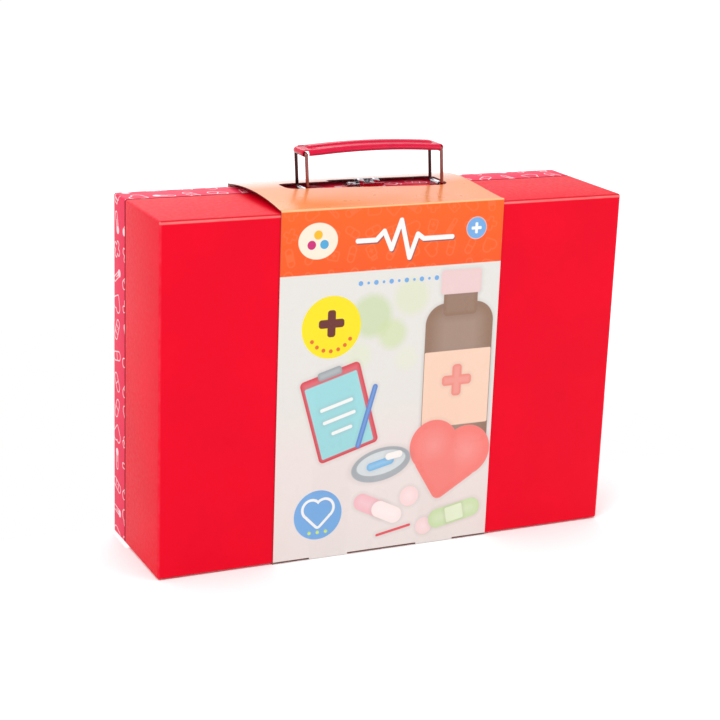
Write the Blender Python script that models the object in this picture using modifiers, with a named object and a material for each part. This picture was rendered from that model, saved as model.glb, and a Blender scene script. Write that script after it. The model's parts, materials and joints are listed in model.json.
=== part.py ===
"""Toy doctor case: a paper-covered board suitcase in a printed card sleeve, standing on its hinge side.

Run with Blender 4.5, from its text editor or as: blender --background --python part.py
Lengths are in metres. X runs along the case, Y from its front face to its lid, and Z up.
The origin is on the floor, under the middle of the whole object.
"""

import math

import bmesh
import bpy
from mathutils import Matrix, Vector

# Case: two board trays, a deep base in front and a shallow lid behind, hinged along the bottom
case_width = 0.300
case_height = 0.214
case_depth = 0.083
base_depth_share = 0.735
seam_gap = 0.0009
wall_board = 0.0020
outer_edge = 0.0015
lining_paper = 0.0005
glue_gap = 0.0002

# Collar: a strip inside the base's rim that the lid closes over, on three sides
collar_board = 0.0010
collar_gap = 0.0003
collar_inside = 0.0080
collar_proud = 0.0060
collar_foot = 0.0060
collar_notch_gap = 0.0008

# Hinge: a strip of bookcloth let into the bottom walls, folded at the seam
strip_cloth = 0.0005
strip_width = 0.0120
strip_end = 0.0060
strip_fold_gap = 0.0002

# Handle: a pressed grip on two wire links, which lean together in two clips
fittings_x = 0.0030
handle_before_seam = 0.0088
handle_span = 0.0900
pivot_height = 0.0023
link_height = 0.0230
link_depth = 0.0160
link_wire = 0.0020
link_bend = 0.0018
link_butt_gap = 0.0008
link_lean_degrees = 4.0

clip_sheet = 0.0005
clip_width = 0.0100
clip_wire_gap = 0.00015
clip_tail = 0.0045
clip_hole_gap = 0.0003
backing_sheet = 0.0006
backing_length = 0.0160
backing_width = 0.0120

grip_sheet = 0.0008
grip_side_gap = 0.0003
grip_wire_gap = 0.00035
grip_rise = 0.0020
grip_flange = 0.0035
grip_fold = 0.0022
grip_rib_width = 0.0064
grip_rib_height = 0.0012
grip_tab = 0.0012
grip_taper = 0.0032
grip_crest_share = 0.25
grip_roll_start_degrees = 345.0

# Clasp: a catch on the base, and a hasp that swings on a plate on the lid
clasp_sheet = 0.0005
catch_width = 0.0240
catch_depth = 0.0095
catch_edge_gap = 0.0010
catch_corner = 0.0018
catch_rivet_share = 0.42
catch_tab_width = 0.0046
catch_tab_length = 0.0036
catch_tab_height = 0.0034
catch_tab_gap = 0.0005
catch_tab_sheet_share = 0.9
hasp_width = 0.0140
hasp_reach = 0.0160
hasp_camber = 0.0036
hasp_lip = 0.0030
hasp_lip_turn_share = 0.33
hasp_bar = 0.0018
hasp_window_width = 0.0064
hasp_window_depth = 0.0052
knuckle_width = 0.0090
knuckle_gap = 0.0003
pin_radius = 0.0006
pin_gap = 0.00015
pin_set_back = 0.0020
pin_head_radius = 0.0010
pin_head_height = 0.0004
lid_plate_width = 0.0200
lid_plate_depth = 0.0085
lid_rivet_edge_gap = 0.0008
rivet_radius = 0.0010
rivet_head_radius = 0.0017
rivet_head_height = 0.0007
rivet_dome_share = 0.125
rivet_rim_share = 0.33
rivet_clench_height = 0.0004
rivet_hole_gap = 0.0002
catch_rivet_span = 0.0190
lid_rivet_span = 0.0120

# Sleeve: one folded card round the case, glued behind, with a slot for the handle that is cut farther back
# at the clasp and to the right of it
card = 0.00045
slot_left_of_handle = 0.0130
slot_right_of_handle = 0.0045
slot_before_seam = 0.0188
slot_behind_seam = 0.0018
slot_corner = 0.0060
deep_slot_left_of_clasp = 0.0230
deep_slot_behind_seam = 0.0073
deep_slot_corner = 0.0030
sleeve_left_of_slot = 0.0225
sleeve_right_of_slot = 0.0145
sleeve_bow_left = 0.0044
sleeve_bow_right = 0.0011
sleeve_skew_right = 3.0
sleeve_flap = 0.0160
crease_cut = 0.0010
crease_end_cut_share = 0.163
crease_bridge_share = 0.176

# Numbers of steps in curved shapes
corner_steps = 3
arc_steps = 10
flare_steps = 3
bow_steps = 14
bow_columns = 8
round_steps = 16
overrun = 0.0020
merge_distance = 0.00002

# Places worked out from the sizes above
fold_stack = glue_gap + card
case_front = -(case_depth + fold_stack * 3) / 2 + fold_stack
case_back = case_front + case_depth
case_bottom = fold_stack
case_top = case_bottom + case_height
case_right = case_width / 2
seam_y = case_front + case_depth * base_depth_share
base_rim = seam_y - seam_gap / 2
lid_rim = seam_y + seam_gap / 2
inside_skin = wall_board + glue_gap + lining_paper
handle_y = seam_y - handle_before_seam
handle_left = fittings_x - handle_span / 2
handle_right = fittings_x + handle_span / 2
pivot_z = case_top + pivot_height
lean = math.radians(link_lean_degrees)
roll_shift = -link_height * math.sin(lean)
roll_z = pivot_z + link_height * math.cos(lean)
clasp_z = case_top + glue_gap + clasp_sheet / 2
knuckle_radius = pin_radius + pin_gap + clasp_sheet / 2
pin_y = lid_rim + pin_set_back
pin_z = clasp_z + knuckle_radius
catch_back = base_rim - catch_edge_gap
catch_front = catch_back - catch_depth
catch_rivet_y = catch_front + catch_depth * catch_rivet_share
lid_plate_back = pin_y + lid_plate_depth
lid_rivet_y = lid_plate_back - rivet_head_radius - lid_rivet_edge_gap
rivet_head_z = case_top + glue_gap * 2 + clasp_sheet
lining_inner_z = case_top - inside_skin
strap_radius = link_wire / 2 + clip_wire_gap + clip_sheet / 2
roll_radius = link_wire / 2 + grip_wire_gap + grip_sheet / 2
grip_width = link_depth + link_wire + (grip_side_gap + grip_sheet) * 2
roll_width = link_depth - link_wire - grip_side_gap * 2
slot_left = handle_left - slot_left_of_handle
slot_right = handle_right + slot_right_of_handle
slot_front = seam_y - slot_before_seam
slot_back = seam_y + slot_behind_seam
deep_slot_left = fittings_x - deep_slot_left_of_clasp
deep_slot_back = seam_y + deep_slot_behind_seam
sleeve_left = slot_left - sleeve_left_of_slot
sleeve_right = slot_right + sleeve_right_of_slot


def clear_scene():
    for thing in list(bpy.data.objects):
        bpy.data.objects.remove(thing, do_unlink=True)


def collection(name):
    made = bpy.data.collections.new(name)
    bpy.context.scene.collection.children.link(made)
    return made


def linear(level):
    return level / 12.92 if level <= 0.04045 else ((level + 0.055) / 1.055) ** 2.4


def finish(name, colour, roughness, metallic=0.0):
    """A Principled material. The colour is given as it looks on a screen, from 0 to 1."""
    made = bpy.data.materials.new(name)
    made.use_nodes = True
    shader = made.node_tree.nodes["Principled BSDF"]
    shader.inputs["Base Color"].default_value = [*(linear(level) for level in colour), 1.0]
    shader.inputs["Roughness"].default_value = roughness
    shader.inputs["Metallic"].default_value = metallic
    made.diffuse_color = [*colour, 1.0]
    return made


def add_object(name, shape, place, material=None):
    """Turns a bmesh into an object in the given collection."""
    mesh = bpy.data.meshes.new(name)
    shape.to_mesh(mesh)
    shape.free()
    thing = bpy.data.objects.new(name, mesh)
    place.objects.link(thing)
    if material:
        mesh.materials.append(material)
    return thing


def box_shape(low, high):
    shape = bmesh.new()
    bmesh.ops.create_cube(shape, size=1.0)
    low, high = Vector(low), Vector(high)
    bmesh.ops.scale(shape, vec=high - low, verts=shape.verts)
    bmesh.ops.translate(shape, vec=(low + high) / 2, verts=shape.verts)
    return shape


def cutter(name, low, high):
    thing = add_object(name, box_shape(low, high), cutters)
    thing.hide_render = True
    thing.display_type = "WIRE"
    return thing


def round_cutter(name, centre, radius, height):
    shape = bmesh.new()
    bmesh.ops.create_cone(
        shape, cap_ends=True, segments=round_steps, radius1=radius, radius2=radius, depth=height
    )
    bmesh.ops.translate(shape, vec=Vector(centre), verts=shape.verts)
    thing = add_object(name, shape, cutters)
    thing.hide_render = True
    thing.display_type = "WIRE"
    return thing


def cut(thing, tool, operation="DIFFERENCE"):
    change = thing.modifiers.new(tool.name, "BOOLEAN")
    change.operation = operation
    change.solver = "EXACT"
    change.object = tool


def thicken(thing, thickness, offset):
    wall = thing.modifiers.new("thickness", "SOLIDIFY")
    wall.thickness = thickness
    wall.offset = offset
    wall.use_even_offset = True


def round_edges(thing, radius, limit):
    edge = thing.modifiers.new("rounded edges", "BEVEL")
    edge.width = radius
    edge.segments = corner_steps
    edge.limit_method = limit


def smooth(thing, angle=35):
    thing.data.shade_smooth()
    thing.data.set_sharp_from_angle(angle=math.radians(angle))


def arc(centre, radius, start, end, steps):
    """Points on an arc in a plane, from one angle to another in degrees, both ends included."""
    angles = [math.radians(start + (end - start) * step / steps) for step in range(steps + 1)]
    return [(centre[0] + radius * math.cos(a), centre[1] + radius * math.sin(a)) for a in angles]


def bent_sheet(name, path, low, high, thickness, plane, material, place):
    """A strip that follows a path in the XZ or the YZ plane, and runs from low to high across it."""
    shape = bmesh.new()
    rows = []
    for u, v in path:
        if plane == "XZ":
            corners = (u, low, v), (u, high, v)
        else:
            corners = (low, u, v), (high, u, v)
        rows.append([shape.verts.new(corner) for corner in corners])
    for first, second in zip(rows, rows[1:]):
        shape.faces.new((first[0], first[1], second[1], second[0]))
    thing = add_object(name, shape, place, material)
    thicken(thing, thickness, 0.0)
    return thing


def weight_edges(thing, chosen):
    """Marks the edges that a bevel limited by weight works on."""
    weight = thing.data.attributes.new("bevel_weight_edge", "FLOAT", "EDGE")
    for edge in thing.data.edges:
        ends = [thing.data.vertices[index].co for index in edge.vertices]
        weight.data[edge.index].value = float(chosen(*ends))


def move_origin(thing, place):
    """Puts the object's origin at a place, such as its joint's axis, and leaves its shape where it is."""
    place = Vector(place)
    thing.data.transform(Matrix.Translation(-place))
    thing.location = place


def tray_shell(name, face, rim, material):
    """A paper-covered board tray, solid at its face and open at its rim."""
    near = min(face, rim)
    far = max(face, rim)
    shape = box_shape((-case_right, near, case_bottom), (case_right, far, case_top))
    thing = add_object(name, shape, parts, material)
    middle = (face + rim) / 2
    outward = 1 if rim > face else -1
    weight_edges(thing, lambda a, b: (min(a.y * outward, b.y * outward) - middle * outward) < 0)
    round_edges(thing, outer_edge, "WEIGHT")
    inner = (face + wall_board * outward, rim + overrun * outward)
    hollow = cutter(
        f"{name}_hollow",
        (-case_right + wall_board, min(inner), case_bottom + wall_board),
        (case_right - wall_board, max(inner), case_top - wall_board),
    )
    cut(thing, hollow)
    smooth(thing)
    return thing


def tray_lining(name, floor, rim, material):
    """A paper tray inside the board one, open at the rim."""
    inset = wall_board + glue_gap
    near = min(floor, rim)
    far = max(floor, rim)
    shape = box_shape(
        (-case_right + inset, near, case_bottom + inset), (case_right - inset, far, case_top - inset)
    )
    outward = 1 if rim > floor else -1
    mouth = [face for face in shape.faces if face.normal.y * outward > 0.5]
    bmesh.ops.delete(shape, geom=mouth, context="FACES_ONLY")
    thing = add_object(name, shape, parts, material)
    thicken(thing, lining_paper, -1.0)
    return thing


def make_collar(material):
    """A U-shaped strip along the top and the sides, cut away round the clips and the catch."""
    inset = inside_skin + collar_gap + collar_board / 2
    side = case_right - inset
    top = case_top - inset
    path = [(-side, case_bottom + collar_foot), (-side, top), (side, top), (side, case_bottom + collar_foot)]
    thing = bent_sheet(
        "rim_collar", path, seam_y - collar_inside, seam_y + collar_proud, collar_board, "XZ", material, parts
    )
    clip_reach = backing_length / 2 + collar_notch_gap
    catch_reach = catch_rivet_span / 2 + rivet_head_radius + collar_notch_gap
    clip_back = handle_y + backing_width / 2
    notches = [(handle_left, clip_reach, clip_back), (handle_right, clip_reach, clip_back)]
    notches.append((fittings_x, catch_reach, catch_rivet_y + rivet_head_radius))
    for number, (centre, reach, back) in enumerate(notches):
        notch = cutter(
            f"collar_notch_{number}",
            (centre - reach, seam_y - collar_inside - overrun, top - collar_board - overrun),
            (centre + reach, back + collar_notch_gap, top + collar_board + overrun),
        )
        cut(thing, notch)


def make_hinge_strip(name, near, far, walls, material):
    """Half of the bookcloth hinge, let into the bottom wall so that it lies flush."""
    end = case_right - strip_end
    shape = box_shape((-end, near, case_bottom), (end, far, case_bottom + strip_cloth))
    add_object(name, shape, parts, material)
    rebate = cutter(
        f"{name}_rebate",
        (-end - glue_gap, near - glue_gap, case_bottom - overrun),
        (end + glue_gap, far + glue_gap, case_bottom + strip_cloth + glue_gap),
    )
    cut(walls, rebate)


def make_case():
    red = finish("red paper", (0.90, 0.04, 0.17), 0.42)
    printed = finish("printed lid paper", (0.93, 0.22, 0.36), 0.42)
    teal = finish("teal lining paper", (0.60, 0.86, 0.87), 0.70)
    cloth = finish("red bookcloth", (0.75, 0.05, 0.14), 0.85)
    base = tray_shell("base_shell", case_front, base_rim, red)
    lid = tray_shell("lid_shell", case_back, lid_rim, printed)
    board_and_glue = wall_board + glue_gap
    base_inside = tray_lining("base_lining", case_front + board_and_glue, base_rim, teal)
    lid_inside = tray_lining("lid_lining", case_back - board_and_glue, lid_rim, teal)
    make_collar(printed)
    half_fold = strip_fold_gap / 2
    make_hinge_strip("hinge_strip_base", seam_y - strip_width, seam_y - half_fold, base, cloth)
    make_hinge_strip("hinge_strip_lid", seam_y + half_fold, seam_y + strip_width, lid, cloth)
    return base, base_inside, lid, lid_inside


def make_clip(side, x, chrome, boards):
    """A strap over the link's lower bar. Its tails pass through the wall and are spread behind a plate."""
    tail_z = lining_inner_z - glue_gap * 2 - backing_sheet - clip_sheet / 2
    over = arc((x, pivot_z), strap_radius, 180, 0, arc_steps)
    left = [(x - strap_radius - clip_tail, tail_z), (x - strap_radius, tail_z)]
    right = [(x + strap_radius, tail_z), (x + strap_radius + clip_tail, tail_z)]
    low = handle_y - clip_width / 2
    high = handle_y + clip_width / 2
    clip = bent_sheet(
        f"handle_clip_{side}", left + over + right, low, high, clip_sheet, "XZ", chrome, parts
    )
    smooth(clip)
    reach = strap_radius + clip_sheet / 2 + clip_hole_gap
    hole = cutter(
        f"clip_hole_{side}",
        (x - reach, low - clip_hole_gap, lining_inner_z - backing_sheet - overrun),
        (x + reach, high + clip_hole_gap, case_top + overrun),
    )
    steel = finish(f"backing steel {side}", (0.62, 0.62, 0.64), 0.35, 1.0)
    plate_top = lining_inner_z - glue_gap
    plate = add_object(
        f"clip_backing_{side}",
        box_shape(
            (x - backing_length / 2, handle_y - backing_width / 2, plate_top - backing_sheet),
            (x + backing_length / 2, handle_y + backing_width / 2, plate_top),
        ),
        parts,
        steel,
    )
    for board in [*boards, plate]:
        cut(board, hole)


def make_link(side, x, chrome):
    """A wire bent into a rectangle, leaning as in use. Its ends meet in the lower bar, inside the clip."""
    half = link_depth / 2
    low, high = pivot_z, pivot_z + link_height
    near, far = handle_y - half, handle_y + half
    bend = link_bend
    path = [(handle_y + link_butt_gap / 2, low)]
    path += arc((far - bend, low + bend), bend, -90, 0, corner_steps)
    path += arc((far - bend, high - bend), bend, 0, 90, corner_steps)
    path += arc((near + bend, high - bend), bend, 90, 180, corner_steps)
    path += arc((near + bend, low + bend), bend, 180, 270, corner_steps)
    path.append((handle_y - link_butt_gap / 2, low))
    curve = bpy.data.curves.new(f"handle_link_{side}", "CURVE")
    curve.dimensions = "3D"
    curve.bevel_depth = link_wire / 2
    curve.bevel_resolution = 2
    curve.use_fill_caps = True
    spline = curve.splines.new("POLY")
    spline.points.add(len(path) - 1)
    for point, (y, z) in zip(spline.points, path):
        point.co = (0, y, z - pivot_z, 1)
    curve.materials.append(chrome)
    thing = bpy.data.objects.new(curve.name, curve)
    thing.location = (x, 0, pivot_z)
    thing.rotation_euler = (0, -lean, 0)
    parts.objects.link(thing)


def grip_rows():
    """Where the grip's section goes: x and height, the turn of its outward side, and how far it is formed.

    The first number of the last two widens the sheet beyond the links. The second turns its sides down.
    """
    half = handle_span / 2
    roll = arc((-half, 0), roll_radius, grip_roll_start_degrees, 90, arc_steps)
    rolled = [(x, z, math.atan2(z, x + half), 0, 0) for x, z in roll]
    shoulder = half - grip_tab
    tapered = shoulder - grip_taper
    flared = [-shoulder + grip_taper * step / flare_steps for step in range(flare_steps)]
    arched = [-tapered + tapered * 2 * step / arc_steps for step in range(arc_steps + 1)]
    stations = flared + arched + [-x for x in flared[::-1]]
    rows = list(rolled)
    for x in stations:
        flare = math.pi / 2 * min((shoulder - abs(x)) / grip_taper, 1.0)
        widened = math.sin(flare)
        turned = 1 - math.cos(flare)
        rise = grip_rise * (1 - (x / shoulder) ** 2)
        slope = -2 * grip_rise * x / shoulder**2
        rows.append((x, roll_radius + rise, math.atan2(1, -slope), widened, turned))
    rows += [(-x, z, math.pi - turn, *formed) for x, z, turn, *formed in rolled[::-1]]
    return rows


def grip_section(widened, turned):
    """Across the grip, from its right edge to its left: distance from the middle, and height."""
    flat = roll_width / 2
    side = flat + ((grip_width - grip_sheet) / 2 - flat) * widened
    right = [
        (side, -(grip_flange - grip_sheet / 2) * turned),
        (side - grip_fold * (1 - turned) / 3, -grip_fold * turned),
        (side - grip_fold * (2 - turned) / 3, -grip_fold * turned / 3),
        (side - grip_fold, 0),
        (grip_rib_width / 2, 0),
        (grip_rib_width * grip_crest_share, grip_rib_height * turned),
    ]
    return [(-y, height) for y, height in right] + right[::-1]


def make_grip(red_metal):
    """A pressed steel grip: sides turned down, a rib along the top, and ends rolled round the links' bars."""
    shape = bmesh.new()
    rows = []
    for x, z, turn, widened, turned in grip_rows():
        out_x, out_z = math.cos(turn), math.sin(turn)
        line = grip_section(widened, turned)
        rows.append([shape.verts.new((x + out_x * up, y, z + out_z * up)) for y, up in line])
    for first, second in zip(rows, rows[1:]):
        for k in range(len(first) - 1):
            shape.faces.new((first[k], second[k], second[k + 1], first[k + 1]))
    bmesh.ops.recalc_face_normals(shape, faces=shape.faces)
    bmesh.ops.translate(shape, vec=(fittings_x + roll_shift, handle_y, roll_z), verts=shape.verts)
    grip = add_object("handle_grip", shape, parts, red_metal)
    move_origin(grip, (handle_left + roll_shift, handle_y, roll_z))
    thicken(grip, grip_sheet, 0.0)
    smooth(grip, 40)


def make_handle(boards):
    chrome = finish("chromed steel", (0.82, 0.82, 0.84), 0.16, 1.0)
    red_metal = finish("red lacquered steel", (0.88, 0.10, 0.25), 0.30)
    for side, x in (("left", handle_left), ("right", handle_right)):
        make_clip(side, x, chrome, boards)
        make_link(side, x, chrome)
    make_grip(red_metal)


def make_rivet(name, x, y, chrome, boards):
    """A tubular rivet, turned about its own axis, and the hole that it needs in each board."""
    top = rivet_head_z + rivet_head_height
    inner = lining_inner_z - glue_gap
    low = inner - rivet_clench_height
    shoulder = rivet_head_z + rivet_head_height * rivet_rim_share
    profile = [
        (0, top),
        (rivet_head_radius / 2, top - rivet_head_height * rivet_dome_share),
        (rivet_head_radius, shoulder),
        (rivet_head_radius, rivet_head_z),
        (rivet_radius, rivet_head_z),
        (rivet_radius, inner),
        (rivet_head_radius, inner),
        (rivet_head_radius, low),
        (0, low),
    ]
    shape = bmesh.new()
    line = [shape.verts.new((r, 0, z - case_top)) for r, z in profile]
    for first, second in zip(line, line[1:]):
        shape.edges.new((first, second))
    rivet = add_object(name, shape, parts, chrome)
    rivet.location = (x, y, case_top)
    turn = rivet.modifiers.new("turned", "SCREW")
    turn.steps = round_steps
    turn.render_steps = round_steps
    turn.use_merge_vertices = True
    turn.merge_threshold = merge_distance
    height = top - low + overrun
    hole = round_cutter(f"{name}_hole", (x, y, (top + low) / 2), rivet_radius + rivet_hole_gap, height)
    for board in boards:
        cut(board, hole)


def make_catch(chrome, boards):
    """The base's half of the clasp: a plate with a ramp struck up for the hasp's bar to snap over."""
    half = catch_width / 2
    low_z = clasp_z - clasp_sheet / 2
    shape = box_shape(
        (fittings_x - half, catch_front, low_z), (fittings_x + half, catch_back, low_z + clasp_sheet)
    )
    plate = add_object("catch_plate", shape, parts, chrome)
    weight_edges(plate, lambda a, b: (a.xy - b.xy).length < clasp_sheet / 2)
    round_edges(plate, catch_corner, "WEIGHT")
    tab_back = hasp_bar_back() + catch_tab_gap + catch_tab_length
    tab_front = hasp_bar_back() + catch_tab_gap
    reach = catch_tab_width / 2 + catch_tab_gap
    window = cutter(
        "catch_window",
        (fittings_x - reach, tab_front - catch_tab_gap, low_z - overrun),
        (fittings_x + reach, tab_back, low_z + clasp_sheet + overrun),
    )
    cut(plate, window)
    path = [
        (tab_back + clasp_sheet, clasp_z),
        (tab_back - clasp_sheet, clasp_z),
        (tab_front + clasp_sheet / 2, clasp_z + catch_tab_height),
    ]
    low = fittings_x - catch_tab_width / 2
    thickness = clasp_sheet * catch_tab_sheet_share
    tab = bent_sheet("catch_tab", path, low, low + catch_tab_width, thickness, "YZ", None, cutters)
    tab.hide_render = True
    tab.display_type = "WIRE"
    cut(plate, tab, "UNION")
    for side, sign in (("left", -1), ("right", 1)):
        x = fittings_x + sign * catch_rivet_span / 2
        make_rivet(f"catch_rivet_{side}", x, catch_rivet_y, chrome, [*boards, plate])


def hasp_bar_back():
    """The back edge of the hasp's front bar, which the catch's tab stands behind."""
    return pin_y - hasp_reach + hasp_lip + hasp_bar


def make_hasp(chrome):
    """The swinging half of the clasp: a knuckle, a cambered plate with a window, a bar and a finger lip."""
    top = pin_z + knuckle_radius
    path = arc((pin_y, pin_z), knuckle_radius, -190, 90, arc_steps)
    front = pin_y - hasp_reach
    bar_z = top - clasp_sheet
    span = hasp_reach - hasp_lip
    for step in range(1, arc_steps + 1):
        share = step / arc_steps
        rise = hasp_camber * math.sin(math.pi * share)
        path.append((pin_y - span * share, top + (bar_z - top) * share + rise))
    turn = hasp_lip * hasp_lip_turn_share
    path.append((front + turn, bar_z + turn))
    path.append((front, bar_z + hasp_lip))
    low = fittings_x - hasp_width / 2
    hasp = bent_sheet("hasp", path, low, low + hasp_width, clasp_sheet, "YZ", chrome, parts)
    side = (hasp_width - knuckle_width) / 2
    cut_back = pin_y + knuckle_radius + overrun
    cut_front = pin_y - knuckle_radius - clasp_sheet
    for name, near in (("left", low - overrun), ("right", low + hasp_width - side)):
        far = near + side + overrun
        cut(
            hasp,
            cutter(f"hasp_notch_{name}", (near, cut_front, case_top), (far, cut_back, top + hasp_lip)),
        )
    window_front = hasp_bar_back()
    window = cutter(
        "hasp_window",
        (fittings_x - hasp_window_width / 2, window_front, case_top),
        (fittings_x + hasp_window_width / 2, window_front + hasp_window_depth, top + hasp_lip * 2),
    )
    cut(hasp, window)
    smooth(hasp)
    move_origin(hasp, (fittings_x, pin_y, pin_z))


def make_lid_plate(chrome, boards):
    """The lid's half of the clasp: a plate with two knuckles, the pin through them, and two rivets."""
    path = arc((pin_y, pin_z), knuckle_radius, -10, 270, arc_steps)
    path.append((lid_plate_back, clasp_z))
    low = fittings_x - lid_plate_width / 2
    plate = bent_sheet("lid_plate", path, low, low + lid_plate_width, clasp_sheet, "YZ", chrome, parts)
    reach = knuckle_width / 2 + knuckle_gap
    space = cutter(
        "knuckle_space",
        (fittings_x - reach, pin_y - knuckle_radius - overrun, case_top),
        (fittings_x + reach, pin_y + knuckle_radius + clasp_sheet, pin_z + knuckle_radius + overrun),
    )
    cut(plate, space)
    smooth(plate)
    for side, sign in (("left", -1), ("right", 1)):
        x = fittings_x + sign * lid_rivet_span / 2
        make_rivet(f"lid_rivet_{side}", x, lid_rivet_y, chrome, [*boards, plate])
    half = lid_plate_width / 2 + glue_gap
    profile = [
        (0, half + pin_head_height),
        (pin_head_radius, half + pin_head_height / 2),
        (pin_head_radius, half),
        (pin_radius, half),
        (pin_radius, -half),
        (pin_head_radius, -half),
        (pin_head_radius, -half - pin_head_height / 2),
        (0, -half - pin_head_height),
    ]
    shape = bmesh.new()
    line = [shape.verts.new((r, 0, z)) for r, z in profile]
    for first, second in zip(line, line[1:]):
        shape.edges.new((first, second))
    pin = add_object("hasp_pin", shape, parts, chrome)
    pin.location = (fittings_x, pin_y, pin_z)
    pin.rotation_euler = (0, math.radians(90), 0)
    turn = pin.modifiers.new("turned", "SCREW")
    turn.steps = round_steps
    turn.render_steps = round_steps
    turn.use_merge_vertices = True
    turn.merge_threshold = merge_distance


def slot_cutter():
    """The slot with its rounded corners, as an upright prism through the sleeve's bowed top."""
    r = slot_corner
    left, right, front = slot_left + r, slot_right - r, slot_front + r
    outline = arc((right, deep_slot_back - r), r, 0, 90, corner_steps)
    near, far = deep_slot_left + deep_slot_corner, deep_slot_back - deep_slot_corner
    outline += arc((near, far), deep_slot_corner, 90, 180, corner_steps)
    outline.append((deep_slot_left, slot_back))
    outline += arc((left, slot_back - r), r, 90, 180, corner_steps)
    outline += arc((left, front), r, 180, 270, corner_steps)
    outline += arc((right, front), r, 270, 360, corner_steps)
    shape = bmesh.new()
    base = shape.faces.new([shape.verts.new((x, y, case_top - overrun)) for x, y in outline])
    grown = bmesh.ops.extrude_face_region(shape, geom=[base])
    raised = [item for item in grown["geom"] if isinstance(item, bmesh.types.BMVert)]
    bmesh.ops.translate(shape, vec=(0, 0, sleeve_bow_left + overrun * 3), verts=raised)
    bmesh.ops.recalc_face_normals(shape, faces=shape.faces)
    thing = add_object("sleeve_slot", shape, cutters)
    thing.hide_render = True
    thing.display_type = "WIRE"
    return thing


def sleeve_path(bow, skew):
    """The card's section: a glue flap behind, the bottom, the front, the bowed top, and the back.

    A skew of 1 puts the bow's crest in the middle, and more puts it farther back.
    """
    half = card / 2
    front = case_front - glue_gap - half
    flap = case_back + glue_gap + half
    back = flap + fold_stack
    top = case_top + glue_gap + half
    path = [(flap, half + sleeve_flap), (flap, half), (front, half)]
    for step in range(bow_steps + 1):
        share = step / bow_steps
        skewed = share**skew
        path.append((front + (back - front) * share, top + bow * 4 * skewed * (1 - skewed)))
    path.append((back, half))
    return path


def make_sleeve():
    """A card band round the case. Towards its right edge its top is lower and its crest farther back."""
    printed = finish("printed card", (1.0, 0.62, 0.42), 0.22)
    width = sleeve_right - sleeve_left
    shape = bmesh.new()
    columns = []
    for step in range(bow_columns + 1):
        share = step / bow_columns
        x = sleeve_left + width * share
        bow = sleeve_bow_left + (sleeve_bow_right - sleeve_bow_left) * share**2
        skew = 1 + (sleeve_skew_right - 1) * share**2
        columns.append([shape.verts.new((x, y, z)) for y, z in sleeve_path(bow, skew)])
    for first, second in zip(columns, columns[1:]):
        for k in range(len(first) - 1):
            shape.faces.new((first[k], second[k], second[k + 1], first[k + 1]))
    sleeve = add_object("card_sleeve", shape, parts, printed)
    thicken(sleeve, card, 0.0)
    cut(sleeve, slot_cutter())
    fold_y = case_front - glue_gap - card / 2
    end_cut = width * crease_end_cut_share
    bridge = width * crease_bridge_share
    spans = [
        (sleeve_left - overrun, sleeve_left + end_cut),
        (sleeve_left + end_cut + bridge, sleeve_right - end_cut - bridge),
        (sleeve_right - end_cut, sleeve_right + overrun),
    ]
    for number, (low, high) in enumerate(spans):
        crease = cutter(
            f"crease_cut_{number}",
            (low, fold_y - overrun, card + glue_gap / 2),
            (high, fold_y + overrun, card + glue_gap / 2 + crease_cut),
        )
        cut(sleeve, crease)


def hang_lid():
    """Parents the lid's pieces to an empty on the hinge's axis, so that the lid turns as one."""
    axis = bpy.data.objects.new("lid_hinge_axis", None)
    axis.location = (0, seam_y, case_bottom)
    parts.objects.link(axis)
    names = ["lid_shell", "lid_lining", "hinge_strip_lid", "lid_plate", "hasp_pin", "hasp"]
    for name in [*names, "lid_rivet_left", "lid_rivet_right"]:
        thing = bpy.data.objects[name]
        thing.parent = axis
        thing.matrix_parent_inverse = Matrix.Translation(-axis.location)


clear_scene()
parts = collection("toy_doctor_case")
cutters = collection("cutters")
base_shell, base_lining, lid_shell, lid_lining = make_case()
make_handle([base_shell, base_lining])
clasp_chrome = finish("clasp chrome", (0.82, 0.82, 0.84), 0.18, 1.0)
make_catch(clasp_chrome, [base_shell, base_lining])
make_hasp(clasp_chrome)
make_lid_plate(clasp_chrome, [lid_shell, lid_lining])
make_sleeve()
hang_lid()
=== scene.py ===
"""Models and finishes a toy doctor case: a paper-covered board case in a printed card sleeve.

Lengths are in metres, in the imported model's frame: X along the case, Y from its front to its lid, Z up.
"""

import json
import math

import bpy
from bpy.props import FloatProperty, FloatVectorProperty, PointerProperty
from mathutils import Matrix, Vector


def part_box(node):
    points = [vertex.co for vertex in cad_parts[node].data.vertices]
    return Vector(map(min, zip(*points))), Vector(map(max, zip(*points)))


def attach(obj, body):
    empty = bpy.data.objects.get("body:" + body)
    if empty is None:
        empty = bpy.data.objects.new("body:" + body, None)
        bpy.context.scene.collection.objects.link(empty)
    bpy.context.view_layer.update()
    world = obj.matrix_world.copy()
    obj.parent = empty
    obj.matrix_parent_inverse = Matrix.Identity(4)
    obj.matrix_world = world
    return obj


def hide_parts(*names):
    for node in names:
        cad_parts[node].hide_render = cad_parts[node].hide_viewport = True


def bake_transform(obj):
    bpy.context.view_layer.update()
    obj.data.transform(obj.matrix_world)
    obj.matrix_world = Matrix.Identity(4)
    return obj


bl_info = {
    "name": "Toy Doctor Case",
    "version": (1, 0, 0),
    "blender": (4, 5, 0),
    "location": "3D View > Sidebar > Doctor Case",
    "description": "Models and finishes a toy doctor case with a folding handle, a clasp and a card sleeve",
    "category": "Add Mesh",
}

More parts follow.
